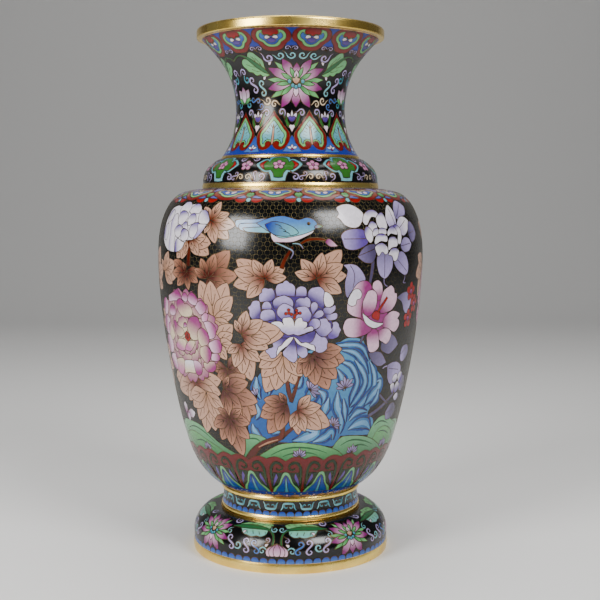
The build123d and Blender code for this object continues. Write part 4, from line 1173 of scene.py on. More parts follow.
whitePeony = [
    ("white", "white", (-62, 275), (-62, 274.9), [(-67.9, 247), (-65.9, 259), (-61.3, 263), (-56.8, 262.7),
        (-52.6, 266.7), (-49, 264), (-44.4, 265.3), (-41.5, 259.7), (-37.3, 257.5), (-35.3, 249.7), (-37.9, 241.7),
        (-42.5, 234.3), (-46.4, 232.9), (-48.3, 230.9), (-51.6, 224.2), (-55.5, 222.9), (-60, 223.1), (-64.6, 227),
        (-67.9, 235)]),
    ("lilac", "white", (-52.6, 266.7), (-52.6, 261), [(-56.8, 258.7, 1), (-56.1, 262.3), (-54.5, 266), (-52.6, 266.9),
        (-50.6, 266.3), (-49, 263.7), (-48.5, 260), (-49.5, 255, 1), (-52.2, 257.8), (-54.5, 258), (-55.8, 255.7, 1)]),
    ("violet", "white", (-45.1, 265), (-45.1, 259), [(-49, 257.5, 1), (-48, 261.7), (-46.4, 264.3), (-44.4, 265.1),
        (-42.5, 263), (-41.4, 259.7), (-42.1, 256), (-44.4, 255.5, 1), (-46.7, 255)]),
    ("violet", "white", (-36, 256.3), (-39.2, 248.3), [(-41.8, 254.7, 1), (-40.9, 258), (-39.2, 259.1), (-37.3,
        257.3), (-36, 253.3), (-35.3, 249.7), (-36.2, 246.7, 1), (-38.6, 246.7), (-41.2, 248)]),
    ("lilac", "white", (-61.3, 243), (-58.1, 243), [(-61.7, 247, 1), (-60.7, 252.3), (-59.4, 255), (-57.1, 254.7),
        (-55.5, 248.3), (-55.1, 241.7), (-56.1, 233.7), (-55.8, 223.5), (-57.8, 222.9), (-60, 223.5), (-61, 225.7),
        (-60.6, 237.7)]),
    ("violet", "white", (-53.5, 257.7), (-52.9, 250.3), [(-55.8, 251, 1), (-55.5, 257), (-53.5, 258.1), (-51.3,
        257.7), (-49.3, 255.5), (-48.6, 253.3), (-49.3, 249.5), (-51.3, 246.2), (-52.9, 245.5), (-54.8, 246.9)]),
    ("violet", "white", (-45.7, 255.7), (-45.7, 248.3), [(-48.3, 250.2, 1), (-47.4, 254.3), (-46.1, 255.7),
        (-44.4, 255.5), (-43.2, 252.3), (-43.2, 248.3), (-45.1, 246.2), (-47.4, 245.5)]),
    ("violet", "white", (-49.6, 248.3), (-49, 243), [(-51.3, 246, 1), (-50.3, 248), (-48.7, 248.5), (-47.7, 245.7),
        (-46.6, 240.7, 1), (-49, 242.7), (-50.6, 243)]),
    ("violet", "white", (-43.1, 247.7), (-43.1, 239), [(-46.1, 240.9, 1), (-45.4, 245), (-43.8, 247.3), (-41.8,
        248.1), (-40.5, 247.3), (-40.8, 241.7), (-41.8, 236.9), (-43.8, 234.9), (-45.4, 236.2)]),
    ("violet", "white", (-55.2, 245.3), (-54.5, 237.7), [(-57.1, 241.5, 1), (-55.8, 244.3), (-53.9, 245.7),
        (-51.9, 245), (-50.9, 241.7), (-51.2, 238.3), (-52.9, 234.9), (-54.8, 235.5), (-56.1, 237.5)]),
    ("violet", "white", (-50.3, 242.3), (-48.3, 235), [(-51.6, 240.2, 1), (-50.6, 242.3), (-49, 242.5), (-46.7,
        240.7), (-46, 237), (-46.7, 233.5), (-49, 232.2), (-50.9, 233.5)]),
    ("white", "lilac", (-40.9, 245.7), (-39.6, 237.7), [(-41.2, 246.7, 1), (-36.3, 246.7, 1), (-37.9, 241.7),
        (-39.6, 237.7), (-41.8, 234.5), (-43.1, 234.9, 1), (-41.2, 240.3)]),
    ("violet", "white", (-55.3, 228.3), (-51.3, 229), [(-55.5, 229.7, 1), (-54.8, 233), (-52.9, 234.1), (-50.6,
        232.3), (-48.6, 231), (-49.6, 226.9), (-51.6, 224.2), (-53.9, 222.9), (-55.5, 223.1, 1)]),
    ("violet", "white", (-65.9, 255), (-64, 252.3), [(-65.3, 247, 1), (-66.6, 253), (-64.9, 258.3), (-62.7, 259),
        (-61, 255.7), (-61.3, 250.3, 1), (-63.3, 248.3)]),
    ("violet", "white", (-67.5, 240.3), (-64.6, 240.3), [(-64, 232.3, 1), (-66.9, 233.7), (-68, 240.3), (-66.6,
        245.7), (-64, 246.3, 1), (-62.7, 239)]),
]

pinkPeony = [
    ("rose", "rose", (18, 275), (18, 274.9), [(29.7, 187), (33.6, 195), (38.5, 189), (43.4, 177), (44.3, 167),
        (42.4, 157), (36.5, 155), (30.7, 160), (27.8, 171)]),
    ("rose", "palePink", (31.2, 189), (24.8, 190), [(23.1, 179.5, 1), (23.3, 187), (25.3, 194), (27.3, 199),
        (29.7, 201.2), (32.6, 200.5), (34.4, 196), (33.7, 191.5), (30.8, 185), (29.8, 179), (30.2, 170.5, 1),
        (25.8, 173), (23.5, 176.5)]),
    ("white", "white", (18, 275), (18, 274.9), [(23.3, 183.5), (23.6, 187.5), (25.8, 194.2), (28.3, 194.5),
        (29.6, 190.8), (29, 186.8), (27.5, 186), (27, 182), (25.3, 180.8), (23.9, 182)]),
    ("rose", "palePink", (38, 187), (37.5, 197), [(34.6, 195, 1), (35.1, 199.5), (37.5, 201.2), (39.6, 198),
        (40.3, 192), (40, 186), (37.5, 184, 1), (36.8, 190)]),
    ("rose", "palePink", (33.6, 175), (34.6, 188), [(30.6, 176.5, 1), (30.2, 183), (31.2, 188), (32.6, 192.5),
        (35.1, 193.2), (37.1, 190), (37.4, 183), (36.5, 176.5), (34.1, 172), (31.7, 173)]),
    ("rose", "palePink", (40, 175), (45.8, 189), [(39.5, 185, 1), (40.9, 192), (43.4, 195), (45.3, 196.2), (47.3, 193,
        1), (47.9, 189.2), (49.3, 189), (49.3, 182), (46.8, 175.8), (43.4, 173.8), (40, 173.5), (39, 179)]),
    ("rose", "palePink", (41.4, 166), (49.2, 167), [(42.4, 170, 1), (46.3, 174.2), (49.7, 174), (52.7, 171.2),
        (51.3, 167.5, 1), (53, 165), (52.7, 160), (50.2, 156.3), (47.3, 158), (44.3, 160), (41.4, 163)]),
    ("rose", "palePink", (40, 160), (45.3, 151), [(38.7, 158.5, 1), (42.4, 160.5), (45.3, 160), (47.9, 156),
        (47.4, 150), (45.3, 146.8), (42.9, 148.8), (40.4, 151.5)]),
    ("rose", "palePink", (37, 158), (37.5, 145), [(33.7, 157, 1), (35.1, 160.2), (37.5, 161), (39.5, 158), (40.5,
        151), (40.8, 145), (38.5, 141.3), (35.6, 141.8), (34.1, 148), (33.4, 154)]),
    ("rose", "palePink", (31.2, 164), (23.9, 164), [(21.7, 163.5, 1), (22.9, 170), (25.8, 171.2), (30.2, 169.5),
        (34.1, 164), (35.8, 160.5), (33.1, 156.8), (29.7, 155.3), (26.8, 154.8), (23.4, 156.8)]),
    ("white", "white", (18, 275), (18, 274.9), [(30.4, 175, 1), (32.1, 172.5), (34.6, 169), (37.5, 166.5), (40.4,
        165.5), (42.3, 164.8, 1), (40.4, 162.8), (37.5, 161.3), (35.1, 162.5), (32.6, 165.5), (31.1, 170)]),
    ("red", "red", (18, 275), (18, 274.9), [(35.2, 172), (36, 175), (37.8, 176.2), (39.3, 175), (39.6, 171),
        (39, 167.8), (37, 168.8), (35.6, 170.2)]),
]

lilacBlossom = [
    # the first cell is a pale lilac petal drawn pure white: its white is partly the petal's pale colour and partly a
    # painted highlight where the light glares on it
    ("white", "white", (18, 275), (18, 274.9), [(19.7, 261), (22.9, 264.2), (26.8, 264), (30.2, 260), (31.9, 255.5),
        (30.8, 250), (28.7, 245), (25.8, 243.8), (22.4, 246), (20.4, 251), (19.1, 252.8, 1), (20.2, 256)]),
    ("lilac", "violet", (20.9, 235), (32.1, 235), [(20.4, 238), (22.9, 242), (27.8, 243.2), (31.2, 241), (32.4, 232),
        (29.2, 227.8), (25.3, 226), (21.9, 227.8), (20.9, 233)]),
    ("mauve", "greyLilac", (27.3, 221), (36, 227), [(27.3, 220.5, 1), (29.2, 226), (32.1, 230), (36.3, 230),
        (36.3, 223), (34.6, 215.8), (30.7, 215.8)]),
    ("mauve", "lilac", (40.9, 224), (40.9, 202), [(36.5, 216), (37.5, 223), (40, 224.2), (43.9, 222), (45.7, 217.8),
        (45.4, 210), (43, 203.8), (40.9, 201.8, 1), (38, 206)]),
    ("mauve", "lilac", (47.3, 219), (56.5, 206), [(46.3, 214.8, 1), (49.2, 222), (52.1, 223.7), (55.6, 219),
        (57.4, 211), (56.6, 204.8), (54.1, 203.8), (51.2, 206), (48.2, 209.8)]),
    ("lilac", "white", (49.2, 244), (47.3, 261), [(43.4, 250.5, 1), (45.3, 259), (47.9, 263.7), (49.7, 260),
        (50.5, 253), (49.2, 244.8), (45.3, 243.8)]),
    ("mauve", "lilac", (51.2, 252), (58, 265), [(50, 254, 1), (51.7, 262), (54.6, 267), (57, 268.2), (59.5, 266),
        (62, 262, 1), (59.5, 254.8), (56, 252.8), (52.1, 249.8)]),
    ("lilac", "white", (49.7, 241), (58, 250), [(49.2, 244.5, 1), (53.1, 252), (57, 252.7), (60.5, 249.5, 1),
        (58.5, 241.8), (55.1, 236.8), (52.1, 237.8)]),
    ("mauve", "lilac", (51.2, 228), (59.5, 230), [(51.2, 229.5, 1), (54.1, 235), (58, 234.2), (60.5, 229, 1),
        (58, 223.8), (54.1, 222.8), (51.7, 225.8)]),
    ("greyLilac", "mauve", (58, 238), (64.3, 240), [(58, 237.8, 1), (59.5, 246), (61.9, 248.7), (64.8, 245),
        (66.8, 238, 1), (64.3, 232.5), (60.9, 230.8)]),
    ("violet", "white", (34.6, 258.5), (34.6, 254), [(30.7, 248.8, 1), (31.7, 254), (34.1, 258.2), (37.5, 259.2),
        (39.7, 256), (39.3, 251.8), (35.6, 252.5), (32.6, 246)]),
    ("violet", "white", (34.6, 248), (34.8, 244), [(32.9, 244, 1), (34.1, 248), (36, 249.2), (37.8, 246), (37.3, 242),
        (34.6, 240), (32.6, 241)]),
    ("violet", "white", (31.2, 242), (33.6, 238), [(30.8, 241, 1), (32.6, 245), (35.1, 240.5, 1), (35.1, 235),
        (33.6, 231.3), (31.7, 235)]),
    ("violet", "white", (40.9, 256), (40.9, 251.5), [(38, 251.8, 1), (40, 255.5), (42.4, 256.5), (43.5, 250),
        (43.4, 243.2), (40, 242), (38, 246)]),
    ("violet", "white", (36.5, 243), (37, 240), [(34.8, 238.5, 1), (36, 242.8), (38, 243.2, 1), (38.5, 239),
        (35.6, 236.5)]),
    ("violet", "white", (40.4, 243.2), (40.4, 240.5), [(38.2, 242, 1), (40, 243.5), (42.6, 242.5, 1), (42.4, 238.2),
        (38.5, 238.5)]),
    ("violet", "white", (39.5, 238), (39.5, 235), [(35.6, 233, 1), (37, 237.5), (40, 238.8), (42.9, 236.5, 1),
        (42.4, 232), (39, 232.5), (36, 230)]),
    ("violet", "white", (38.5, 230.5), (38.5, 227.5), [(35.7, 228, 1), (37.5, 230.8), (40, 231.2), (42.5, 228, 1),
        (42.9, 223.5), (41.4, 221.5), (39.5, 224), (37.5, 220.5), (36, 225)]),
    ("violet", "white", (45.8, 244), (45.8, 240.5), [(43.1, 240, 1), (45.3, 244.2), (48.2, 245), (49.7, 242, 1),
        (49.2, 237.5), (45.3, 238.5), (43.4, 236.5)]),
    ("violet", "white", (49.7, 246), (51.2, 240), [(47.3, 245, 1), (49.7, 246), (52.1, 242), (52.4, 236), (51.2, 230),
        (49.2, 231), (49.7, 239)]),
    ("violet", "white", (45.3, 235.5), (45.3, 232), [(43.1, 231, 1), (44.3, 235.5), (47.3, 236), (49.2, 233, 1),
        (48.7, 228), (45.3, 227), (43.1, 225)]),
    ("violet", "white", (46.8, 226.5), (46.8, 223), [(43, 221, 1), (44.8, 226), (47.8, 226.8), (50, 224, 1),
        (49, 219), (48.2, 216.5), (46.3, 216), (45.3, 220)]),
]

lilacSprig = [
    ("mauve", "lilac", (49.2, 125), (58.9, 121.7), [(48.2, 127.9, 1), (52, 129.8), (56.1, 129.2), (60.2, 125),
        (61.2, 118.3), (58.5, 113.3), (54.5, 109.8), (51.6, 111.5), (49.6, 116.7), (48.8, 122.5)]),
    ("lilac", "mauve", (58.1, 135), (63.4, 140), [(58.1, 132.1, 1), (58.5, 140), (61, 142.9), (65, 141.7), (66.7,
        135), (63.4, 129.2), (60.2, 128.3)]),
    ("mauve", "greyLilac", (63.4, 108.3), (69.1, 106.7), [(61.8, 110.8, 1), (65, 115), (68.7, 113.3), (70.3, 105.8),
        (67.1, 100.8), (63.4, 102.5)]),
    ("mauve", "greyLilac", (54.1, 83.3), (61, 86.7), [(53.3, 84.6, 1), (56.1, 91), (58.9, 92.5), (62, 90.4),
        (64.2, 84.2, 1), (62.2, 79.2), (58.5, 77.3), (54.9, 78.2)]),
    ("violet", "white", (56.5, 110), (56.5, 115.8), [(54.1, 115, 1), (55.3, 117.9), (57.7, 118.3), (58.9, 115),
        (57.7, 111.2), (55.3, 110.8)]),
    ("white", "violet", (54.5, 109.2), (56.5, 100.8), [(53.3, 108.3, 1), (54.1, 110.4), (56.5, 110), (57.7, 105.8),
        (56.9, 101.2), (55.3, 102.5)]),
    ("white", "violet", (59.3, 110), (59.8, 101.7), [(58.1, 109.2, 1), (60.2, 111.2), (62.2, 108.3), (62.2, 103.3),
        (59.3, 100.7), (57.7, 103.3)]),
    ("white", "violet", (61, 116.7), (63.4, 113.3), [(58.9, 115, 1), (60.6, 119.2), (63.4, 118.3), (64.6, 113.3),
        (63, 108.3), (60.6, 110.8)]),
    ("white", "lilac", (60.2, 99.2), (61.8, 94.2), [(58.5, 97.5, 1), (60.2, 100), (62.6, 100), (63.8, 95.8),
        (61.8, 93.2), (59.8, 94.2)]),
]

rockFace = [
    ("azure", "glacier", (6.1, 66.7), (30.9, 141.7), [(-16, 111.7), (-14.6, 121.7), (-11.4, 129.2), (0, 141.7),
        (19.5, 150, 1), (24.4, 155), (30.9, 153.3), (33, 148.3), (34.6, 141.7), (39, 133.3), (41.7, 125), (46.2,
        115.8), (45.2, 98.3), (40.7, 91.7), (39.8, 86.7), (44, 81.7), (44.9, 75), (43.2, 67.3, 1), (25.2, 69.8, 1),
        (22, 61.5), (17.9, 61.7), (0, 65.7), (-11.8, 66.7), (-19.5, 70), (-20.3, 83.3), (-16.3, 91.7)]),
]


def picture(coat, table, centre=0):
    # every cell of a table: colour, tint, where the shading starts and ends, outline
    # the shading is done at three quarters of its length
    for colour, tint, (x, y), (u, v), points in table:
        first, last = [(x + share * (u - x), y + share * (v - y)) for share in (0.06, 0.76)]
        draw(coat, points, colour, tint, first, last, centre)


def tuft(coat, angle, rise, size, turn=0, spread=110, count=7):
    # a fan of narrow blades
    at = coat.at(angle, rise)
    for k in range(count):
        lean = turn + spread * (k / (count - 1) - 0.5)
        blade = outline(mirrored([(0, 0, 1), (size * 0.12, size * 0.6), (0, size * (0.8 + 0.2 * (k % 2)), 1)]))
        coat.cell(moved(blade, at, lean), "mauve", "lilac", at, at + (0, size))


# each leaf: its heart, the tips of its lobes, and whether it is pale or brown
salmonLeaves = [
    ((-66, 206), [(-61, 223), (-55, 214), (-54, 203), (-70, 216), (-58, 196)], "pale"),
    ((-47, 207), [(-56, 216), (-57, 205), (-54, 195), (-40, 199), (-46, 192), (-38, 207), (-49, 215)], "brown"),
    ((-35, 203), [(-24.3, 225.7), (-38.3, 219), (-21, 206), (-25, 195), (-42, 210), (-31, 223), (-34, 192)], "brown"),
    ((-33, 170), [(-39, 201), (-33.6, 201), (-25.6, 200), (-23.4, 189), (-23.4, 174), (-24.6, 162), (-28, 152)],
        "pale"),
    ((-33, 150), [(-24.2, 158), (-24, 148), (-28, 136), (-36, 134), (-24, 166)], "pale"),
    ((-34.4, 250), [(-31.8, 267), (-40, 262), (-26, 256), (-22.6, 245.5), (-25, 235), (-31.2, 231), (-37, 239)],
        "heart"),
    ((-44.4, 234.2), [(-33.2, 231), (-34, 222), (-39.6, 221), (-43, 225), (-36, 236)], "heart"),
    ((-46.9, 233.2), [(-53.6, 217.7), (-50, 217.3), (-47.4, 222), (-55, 224)], "pale"),
    ((-20.5, 158.5), [(-17.6, 178), (-11, 170.5), (-4, 163), (-2.6, 159.2), (-8, 154), (-9, 147), (-23, 170)],
        "heart"),
    ((-21, 150), [(-13.4, 149.5), (-12.6, 136), (-17, 119.5), (-20.8, 124), (-24.5, 130), (-27.4, 142)], "heart"),
    ((-10, 204), [(-21.6, 218.6), (-14.8, 219), (-7, 219.5), (-2, 213), (-22.6, 210), (-23, 198), (-17.4, 188),
        (-1.4, 205)], "heart"),
    ((10.2, 204), [(20.4, 226.6), (12.4, 224.5), (4, 219.6), (22.6, 206), (20.6, 192), (1.6, 209), (21, 215)],
        "heart"),
    ((-3, 144), [(-11, 110), (-12.4, 123), (-13.4, 131), (-6.5, 112), (-2.4, 118), (2, 117), (5, 124), (-13.4, 140)],
        "pale"),
    ((-31.4, 111), [(-18.6, 118), (-14.8, 101.5), (-15.4, 91), (-19, 83.5), (-23, 88), (-30, 86.5), (-19.5, 124),
        (-28, 122)], "brown"),
    ((-48, 113), [(-66, 103), (-57, 95), (-36, 97), (-33, 106), (-32, 118), (-68, 114), (-48, 92)], "heart"),
    ((-42, 106), [(-51, 79), (-47, 68), (-40, 71), (-35, 80), (-32.5, 92), (-54, 90), (-55, 99)], "pale"),
    ((-30, 86), [(-40.5, 76), (-37, 64), (-31, 60), (-25, 51.5), (-20.4, 68), (-19.4, 82), (-36, 93), (-23, 94)],
        "brown"),
    ((-64, 160), [(-74, 172), (-70, 148), (-76, 160)], "pale"),
    ((8.8, 143), [(3, 126), (6.5, 123), (11, 116), (17, 112), (20.4, 121), (21, 132), (23.6, 136), (22, 146),
        (3, 136)], "brown"),
    ((-1.5, 101), [(-14, 88.5), (-10.6, 74), (-6, 76.5), (-12, 104), (-5, 110), (-13, 96)], "brown"),
    ((3, 95), [(19, 80), (15, 77.5), (14, 98), (7, 76), (3.8, 73), (0.2, 79.5), (9, 108)], "heart"),
    ((-28, 128), [(-22, 140), (-20, 128), (-24, 116), (-34, 118), (-37, 130)], "brown"),
]

leafTones = {
    "pale": ("tan", "paleSalmon", 0.05, 0.6),
    "heart": ("brown", "paleSalmon", 0.14, 0.62),
    "brown": ("umber", "salmon", 0.24, 0.96),
}

# each ridge of the rock: centre line, then its widths
rockRidges = [
    ([(19, 149), (28.5, 148.5), (32.2, 145), (34.4, 139), (36, 134)], [2, 4, 4, 3.4, 1]),
    ([(22, 145), (27.6, 142.5), (31, 137.5), (33.8, 131), (36.6, 122)], [1, 4, 4.5, 4, 1]),
    ([(21, 136), (26, 132.5), (28, 129), (30, 122.5), (31, 115), (29.3, 105), (28.6, 95)], [1, 3.6, 4, 3.6, 4.6, 5,
        1]),
    ([(28.5, 136), (31.7, 129), (34.2, 122.5), (35.4, 116.5), (34.6, 110), (31.6, 101.5), (28.6, 95.5)], [1, 4, 4.4,
        4.4, 5, 5, 1]),
    ([(36.6, 133.5), (39, 126.5), (40.7, 119), (41, 110), (38.2, 103.3), (33.7, 95), (28.4, 87)], [1, 4, 5, 6, 6.4, 6,
        1]),
    ([(42.5, 115), (44.7, 115), (44, 108.5), (40.7, 103), (37, 95.5)], [1, 6, 8, 7, 1]),
    ([(44.3, 108), (44, 100), (40, 93)], [1, 5, 1]),
    ([(21.4, 110), (22, 96.5), (24, 90), (25, 78.5), (24.4, 72)], [1, 7, 8, 6, 1]),
    ([(28.9, 83), (33.3, 90), (39, 89.2)], [1, 6, 1]),
    ([(29, 75), (34, 79), (39, 79), (43.4, 72)], [1, 8, 9, 1]),
    ([(6, 78), (12.2, 75), (8, 70.5), (0.8, 67.5)], [1, 8, 9, 1]),
    ([(11, 66), (17, 70), (20.4, 74.8), (21.2, 67)], [1, 6, 7, 1]),
    ([(17.5, 105), (16.2, 96.7), (15.4, 87)], [1, 8, 1]),
    ([(-14.6, 123), (-15, 112.5), (-13.4, 104)], [1, 7, 1]),
    ([(-18, 82), (-17.4, 76), (-14, 71)], [1, 7, 1]),
    ([(7.6, 123), (10.6, 116), (9, 106), (5, 101)], [2, 9, 9, 1]),
    ([(20.4, 129), (23.6, 119), (24.6, 110)], [1, 6, 1]),
    ([(1, 112), (4, 118), (5, 124)], [1, 5, 1]),
    ([(-12, 128), (-9, 118), (-9.6, 108)], [1, 7, 1]),
    ([(-15.6, 100), (-14.8, 92), (-16.4, 86)], [1, 6, 1]),
    ([(-11, 80), (-8, 76), (-4.4, 75.6)], [1, 6, 1]),
    ([(-6, 90), (-5.4, 84), (-7, 79)], [1, 5, 1]),
    ([(12, 112), (15, 107), (14.6, 100)], [1, 6, 1]),
    ([(24.6, 103), (26, 92), (27, 82)], [1, 5, 1]),
]

mounds = [
    ("leaf", "paleLeaf", [(42.3, 44), (41.6, 60), (44.4, 75), (48.8, 81.8), (54, 82), (62, 76), (74, 66), (80, 44)]),
    ("leaf", "mint", [(46, 44), (48, 66), (54, 72), (62, 68), (70, 58), (76, 44)]),
    ("leaf", "paleLeaf", [(-84, 44), (-80, 62), (-70, 74), (-58, 75.5), (-50, 73), (-44, 66), (-36, 58), (-26, 50),
        (-24, 44)]),
    ("leaf", "mint", [(-80, 44), (-72, 60), (-60, 66), (-48, 61), (-38, 54), (-34, 44)]),
    ("leaf", "paleLeaf", [(-30, 44), (-24.4, 62), (-20.4, 72.5), (-12, 69.5), (-14, 62), (-20, 52), (-22, 44)]),
    ("leaf", "paleLeaf", [(18, 44), (22, 61), (25.2, 68), (29, 69.6), (36.6, 68), (43, 65), (50.4, 59), (58, 50),
        (60, 44)]),
    ("leaf", "mint", [(-18, 44), (-16.2, 52.5), (-11.5, 58.4), (-5.4, 64.2), (2.7, 66), (9, 65), (18, 61.4), (26, 55),
        (30, 44)]),
]


def leaves(coat, table, centre=0):
    # each leaf with its longest leaflets first
    for heart, tips, kind in table:
        colour, tint, deep, pale = leafTones[kind]
        tips = [(a + centre, s) for a, s in tips]
        order = sorted(tips, key=lambda tip: -math.hypot(*(coat.at(*tip) - coat.at(heart[0] + centre, heart[1]))))
        leafSpray(coat, (heart[0] + centre, heart[1]), order, colour, tint, 0.54 if len(tips) > 5 else 0.62, deep,
            pale)


def veined(coat, table, centre=0):
    # one midrib on each long lilac leaf
    for _, _, start, end, _ in table:
        a, b = coat.at(start[0] + centre, start[1]), coat.at(end[0] + centre, end[1])
        coat.line(outline([a + (b - a) * t for t in (0.05, 0.5, 0.95)], False))


def rockAndTrunk(coat, c=0):
    picture(coat, rockFace, c)
    for line, widths in rockRidges:
        band(coat, line, [w * 1.5 + 1.6 for w in widths], "azure", c, tint="deepBlue", wired=False)
        band(coat, line, [w * 1.1 for w in widths], "glacier", c, tint="azure")
        band(coat, line, [w * 0.5 for w in widths], "paleBlue", c, tint="glacier", wired=False)
    for angle, rise, size, turn in ((25, 112, 11, -10), (8.4, 112, 11, 60), (-15, 106, 9, -70), (20.4, 80, 9, 40)):
        tuft(coat, c + angle, rise, size, turn, 150)
    band(coat, [(0.2, 102), (2.2, 113), (4, 126)], [3.4, 2.6, 1.6], "umber", c, tint="brown")
    band(coat, [(0.4, 104), (-0.8, 112), (-1.6, 124)], [3.4, 3.6, 2.6], "umber", c, tint="brown")


def groundAndTrunk(coat, c=0):
    for colour, tint, points in mounds[:5]:
        draw(coat, points, colour, tint, (points[0][0], 46), (points[0][0], 74), c)
    band(coat, [(-4.4, 70), (-1.6, 75), (2, 80), (5, 82)], [3.6, 3.2, 2.6, 1], "umber", c, tint="brown")
    band(coat, [(-22.5, 47), (-19, 56), (-14.6, 63.5), (-9.5, 67.5), (-4.6, 71), (-3.6, 78), (-3.4, 88)], [8, 7, 5, 5,
        5, 4, 3.4], "umber", c, tint="brown")
    band(coat, [(-16, 61), (-11, 65.6), (-6, 68.6)], [0.8, 1.6, 0.8], "tan", c, wired=False)
    for colour, tint, points in mounds[5:]:
        draw(coat, points, colour, tint, (points[0][0], 46), (points[0][0], 68), c)
    for line in (
        [(-10, 54), (-3, 60), (4, 61.6), (12, 59.6), (19, 55)], [(-4, 53), (2, 56.4), (9, 56.4), (14, 53.6)],
            [(26, 61), (32, 65), (40, 62.6), (48, 57)],
        [(32, 57), (38, 59.4), (45, 55.6)], [(-66, 67), (-58, 71), (-50, 68.6), (-42, 61)], [(-60, 57), (-52, 59.4),
            (-43, 54)], [(46, 75), (51, 77.6), (58, 74)],
        [(50, 68), (56, 67.4), (63, 62)], [(-21, 68), (-17, 68.6), (-14.6, 65.6)],
    ):
        band(coat, line, [0.5, 1.5, 1.5, 0.5], "darkLeaf", c, tint="leaf", wired=False)
    for angle in (4.6, 33.6, -49, 58):
        tuft(coat, c + angle, 52, 9.5 if angle > 0 else 8, 0, 130)


def bird(coat, c=0):
    # a small blue bird on a twig
    band(coat, [(-3.4, 212), (-2.4, 218), (-0.4, 225), (1, 229)], [3.4, 3, 2.6, 1.6], "brown", c, tint="umber")
    band(coat, [(3, 230), (7, 234.6), (12, 235), (15, 233)], [1.2, 2.4, 2.2, 1], "brown", c)
    draw(coat, [(13.6, 232.6, 1), (15.4, 235.4), (18.8, 229.4, 1), (15.6, 229.2)], "magenta", "palePink", (14, 233),
        (18.6, 229.4), c)
    band(coat, [(-6, 232.6), (-2, 229), (1, 225.4), (0, 219.6)], [0.9, 1.5, 1.5, 0.9], "aqua", c, tint="mauve")
    band(coat, [(0.8, 231.6), (3.4, 231.2), (5, 227.6)], [1, 1.5, 0.9], "aqua", c, tint="mauve")
    for low, high, tone in ((243, 251.2, "sky"), (241, 248, "paleBlue"), (240.4, 244.6, "aqua")):
        end = -22.6 + (251.2 - high) * 0.5
        draw(coat, [(end, low + 3.4), (end + 0.4, high - 0.6), (-14, high), (-4, high + 0.8), (-4, low), (-14, low),
            (end + 1.4, low + 0.8)], "paleBlue", tone, (-22, low), (-6, low), c)
    draw(coat, [(-7.8, 240.4, 1), (-7.4, 236), (-6.4, 232.8, 1), (-3, 232.6), (1, 233), (5.4, 236.6), (9.2, 241.4),
        (7, 247), (0, 249)], "white", "palePink", (0, 240), (0, 232), c)
    draw(coat, [(-13.8, 248, 1), (-8, 252.6), (-3, 254), (0.6, 252.2), (3.4, 250.8), (6.6, 252.6), (9.6, 250.6),
        (10.8, 246.4), (9.4, 242.6), (5.6, 239.4), (0, 236.8), (-4, 236.2), (-7.6, 240)], "aqua", "sky", (0, 238),
        (0, 250), c)
    draw(coat, [(-10.2, 247, 1), (-6.6, 249.4), (-2, 247.6), (1.6, 244), (3, 239.6), (-2, 237.4), (-6.4, 238.8),
        (-9, 242.6)], "royal", "aqua", (-9, 245), (2, 239), c)
    for x, y in ((-6, 245.6), (-4.4, 242.6), (-2.8, 240)):
        coat.line(outline([((c + x + dx) * coat.degreeWidth, y + dy) for dx, dy in ((0, 1.6), (2, 0.2), (2.8, -1.8))],
            False))
    draw(coat, [(9.4, 244.6, 1), (10.6, 246.6), (13, 245.6, 1), (11, 243.6)], "mauve", "mint", (10, 245), (13, 245), c)
    dot(coat, c + 7.3, 247.6, 1.25, "cream")
    dot(coat, c + 7.3, 247.6, 0.65, "black")


def bloom(coat, c, rise, size, colour, tint, rings=((9, 1), (7, 0.72), (5, 0.46))):
    # a full peony from rings of lobed petals
    for k, (count, reach) in enumerate(rings):
        for i in range(count):
            turn = math.radians(360 * (i + 0.5 * (k % 2)) / count)
            tip = (c + size * reach * math.sin(turn) / coat.degreeWidth, rise + size * reach * math.cos(turn))
            petal(coat, (c, rise), tip, size * reach * 5.4 / count, colour, tint, 3 if k < 2 else 2, 0.95, 0.35)
    for i in range(5):
        at = moved([(0, size * 0.1)], coat.at(c, rise), 72 * i)[0]
        dot(coat, at[0] / coat.degreeWidth, at[1], size * 0.07, "red")


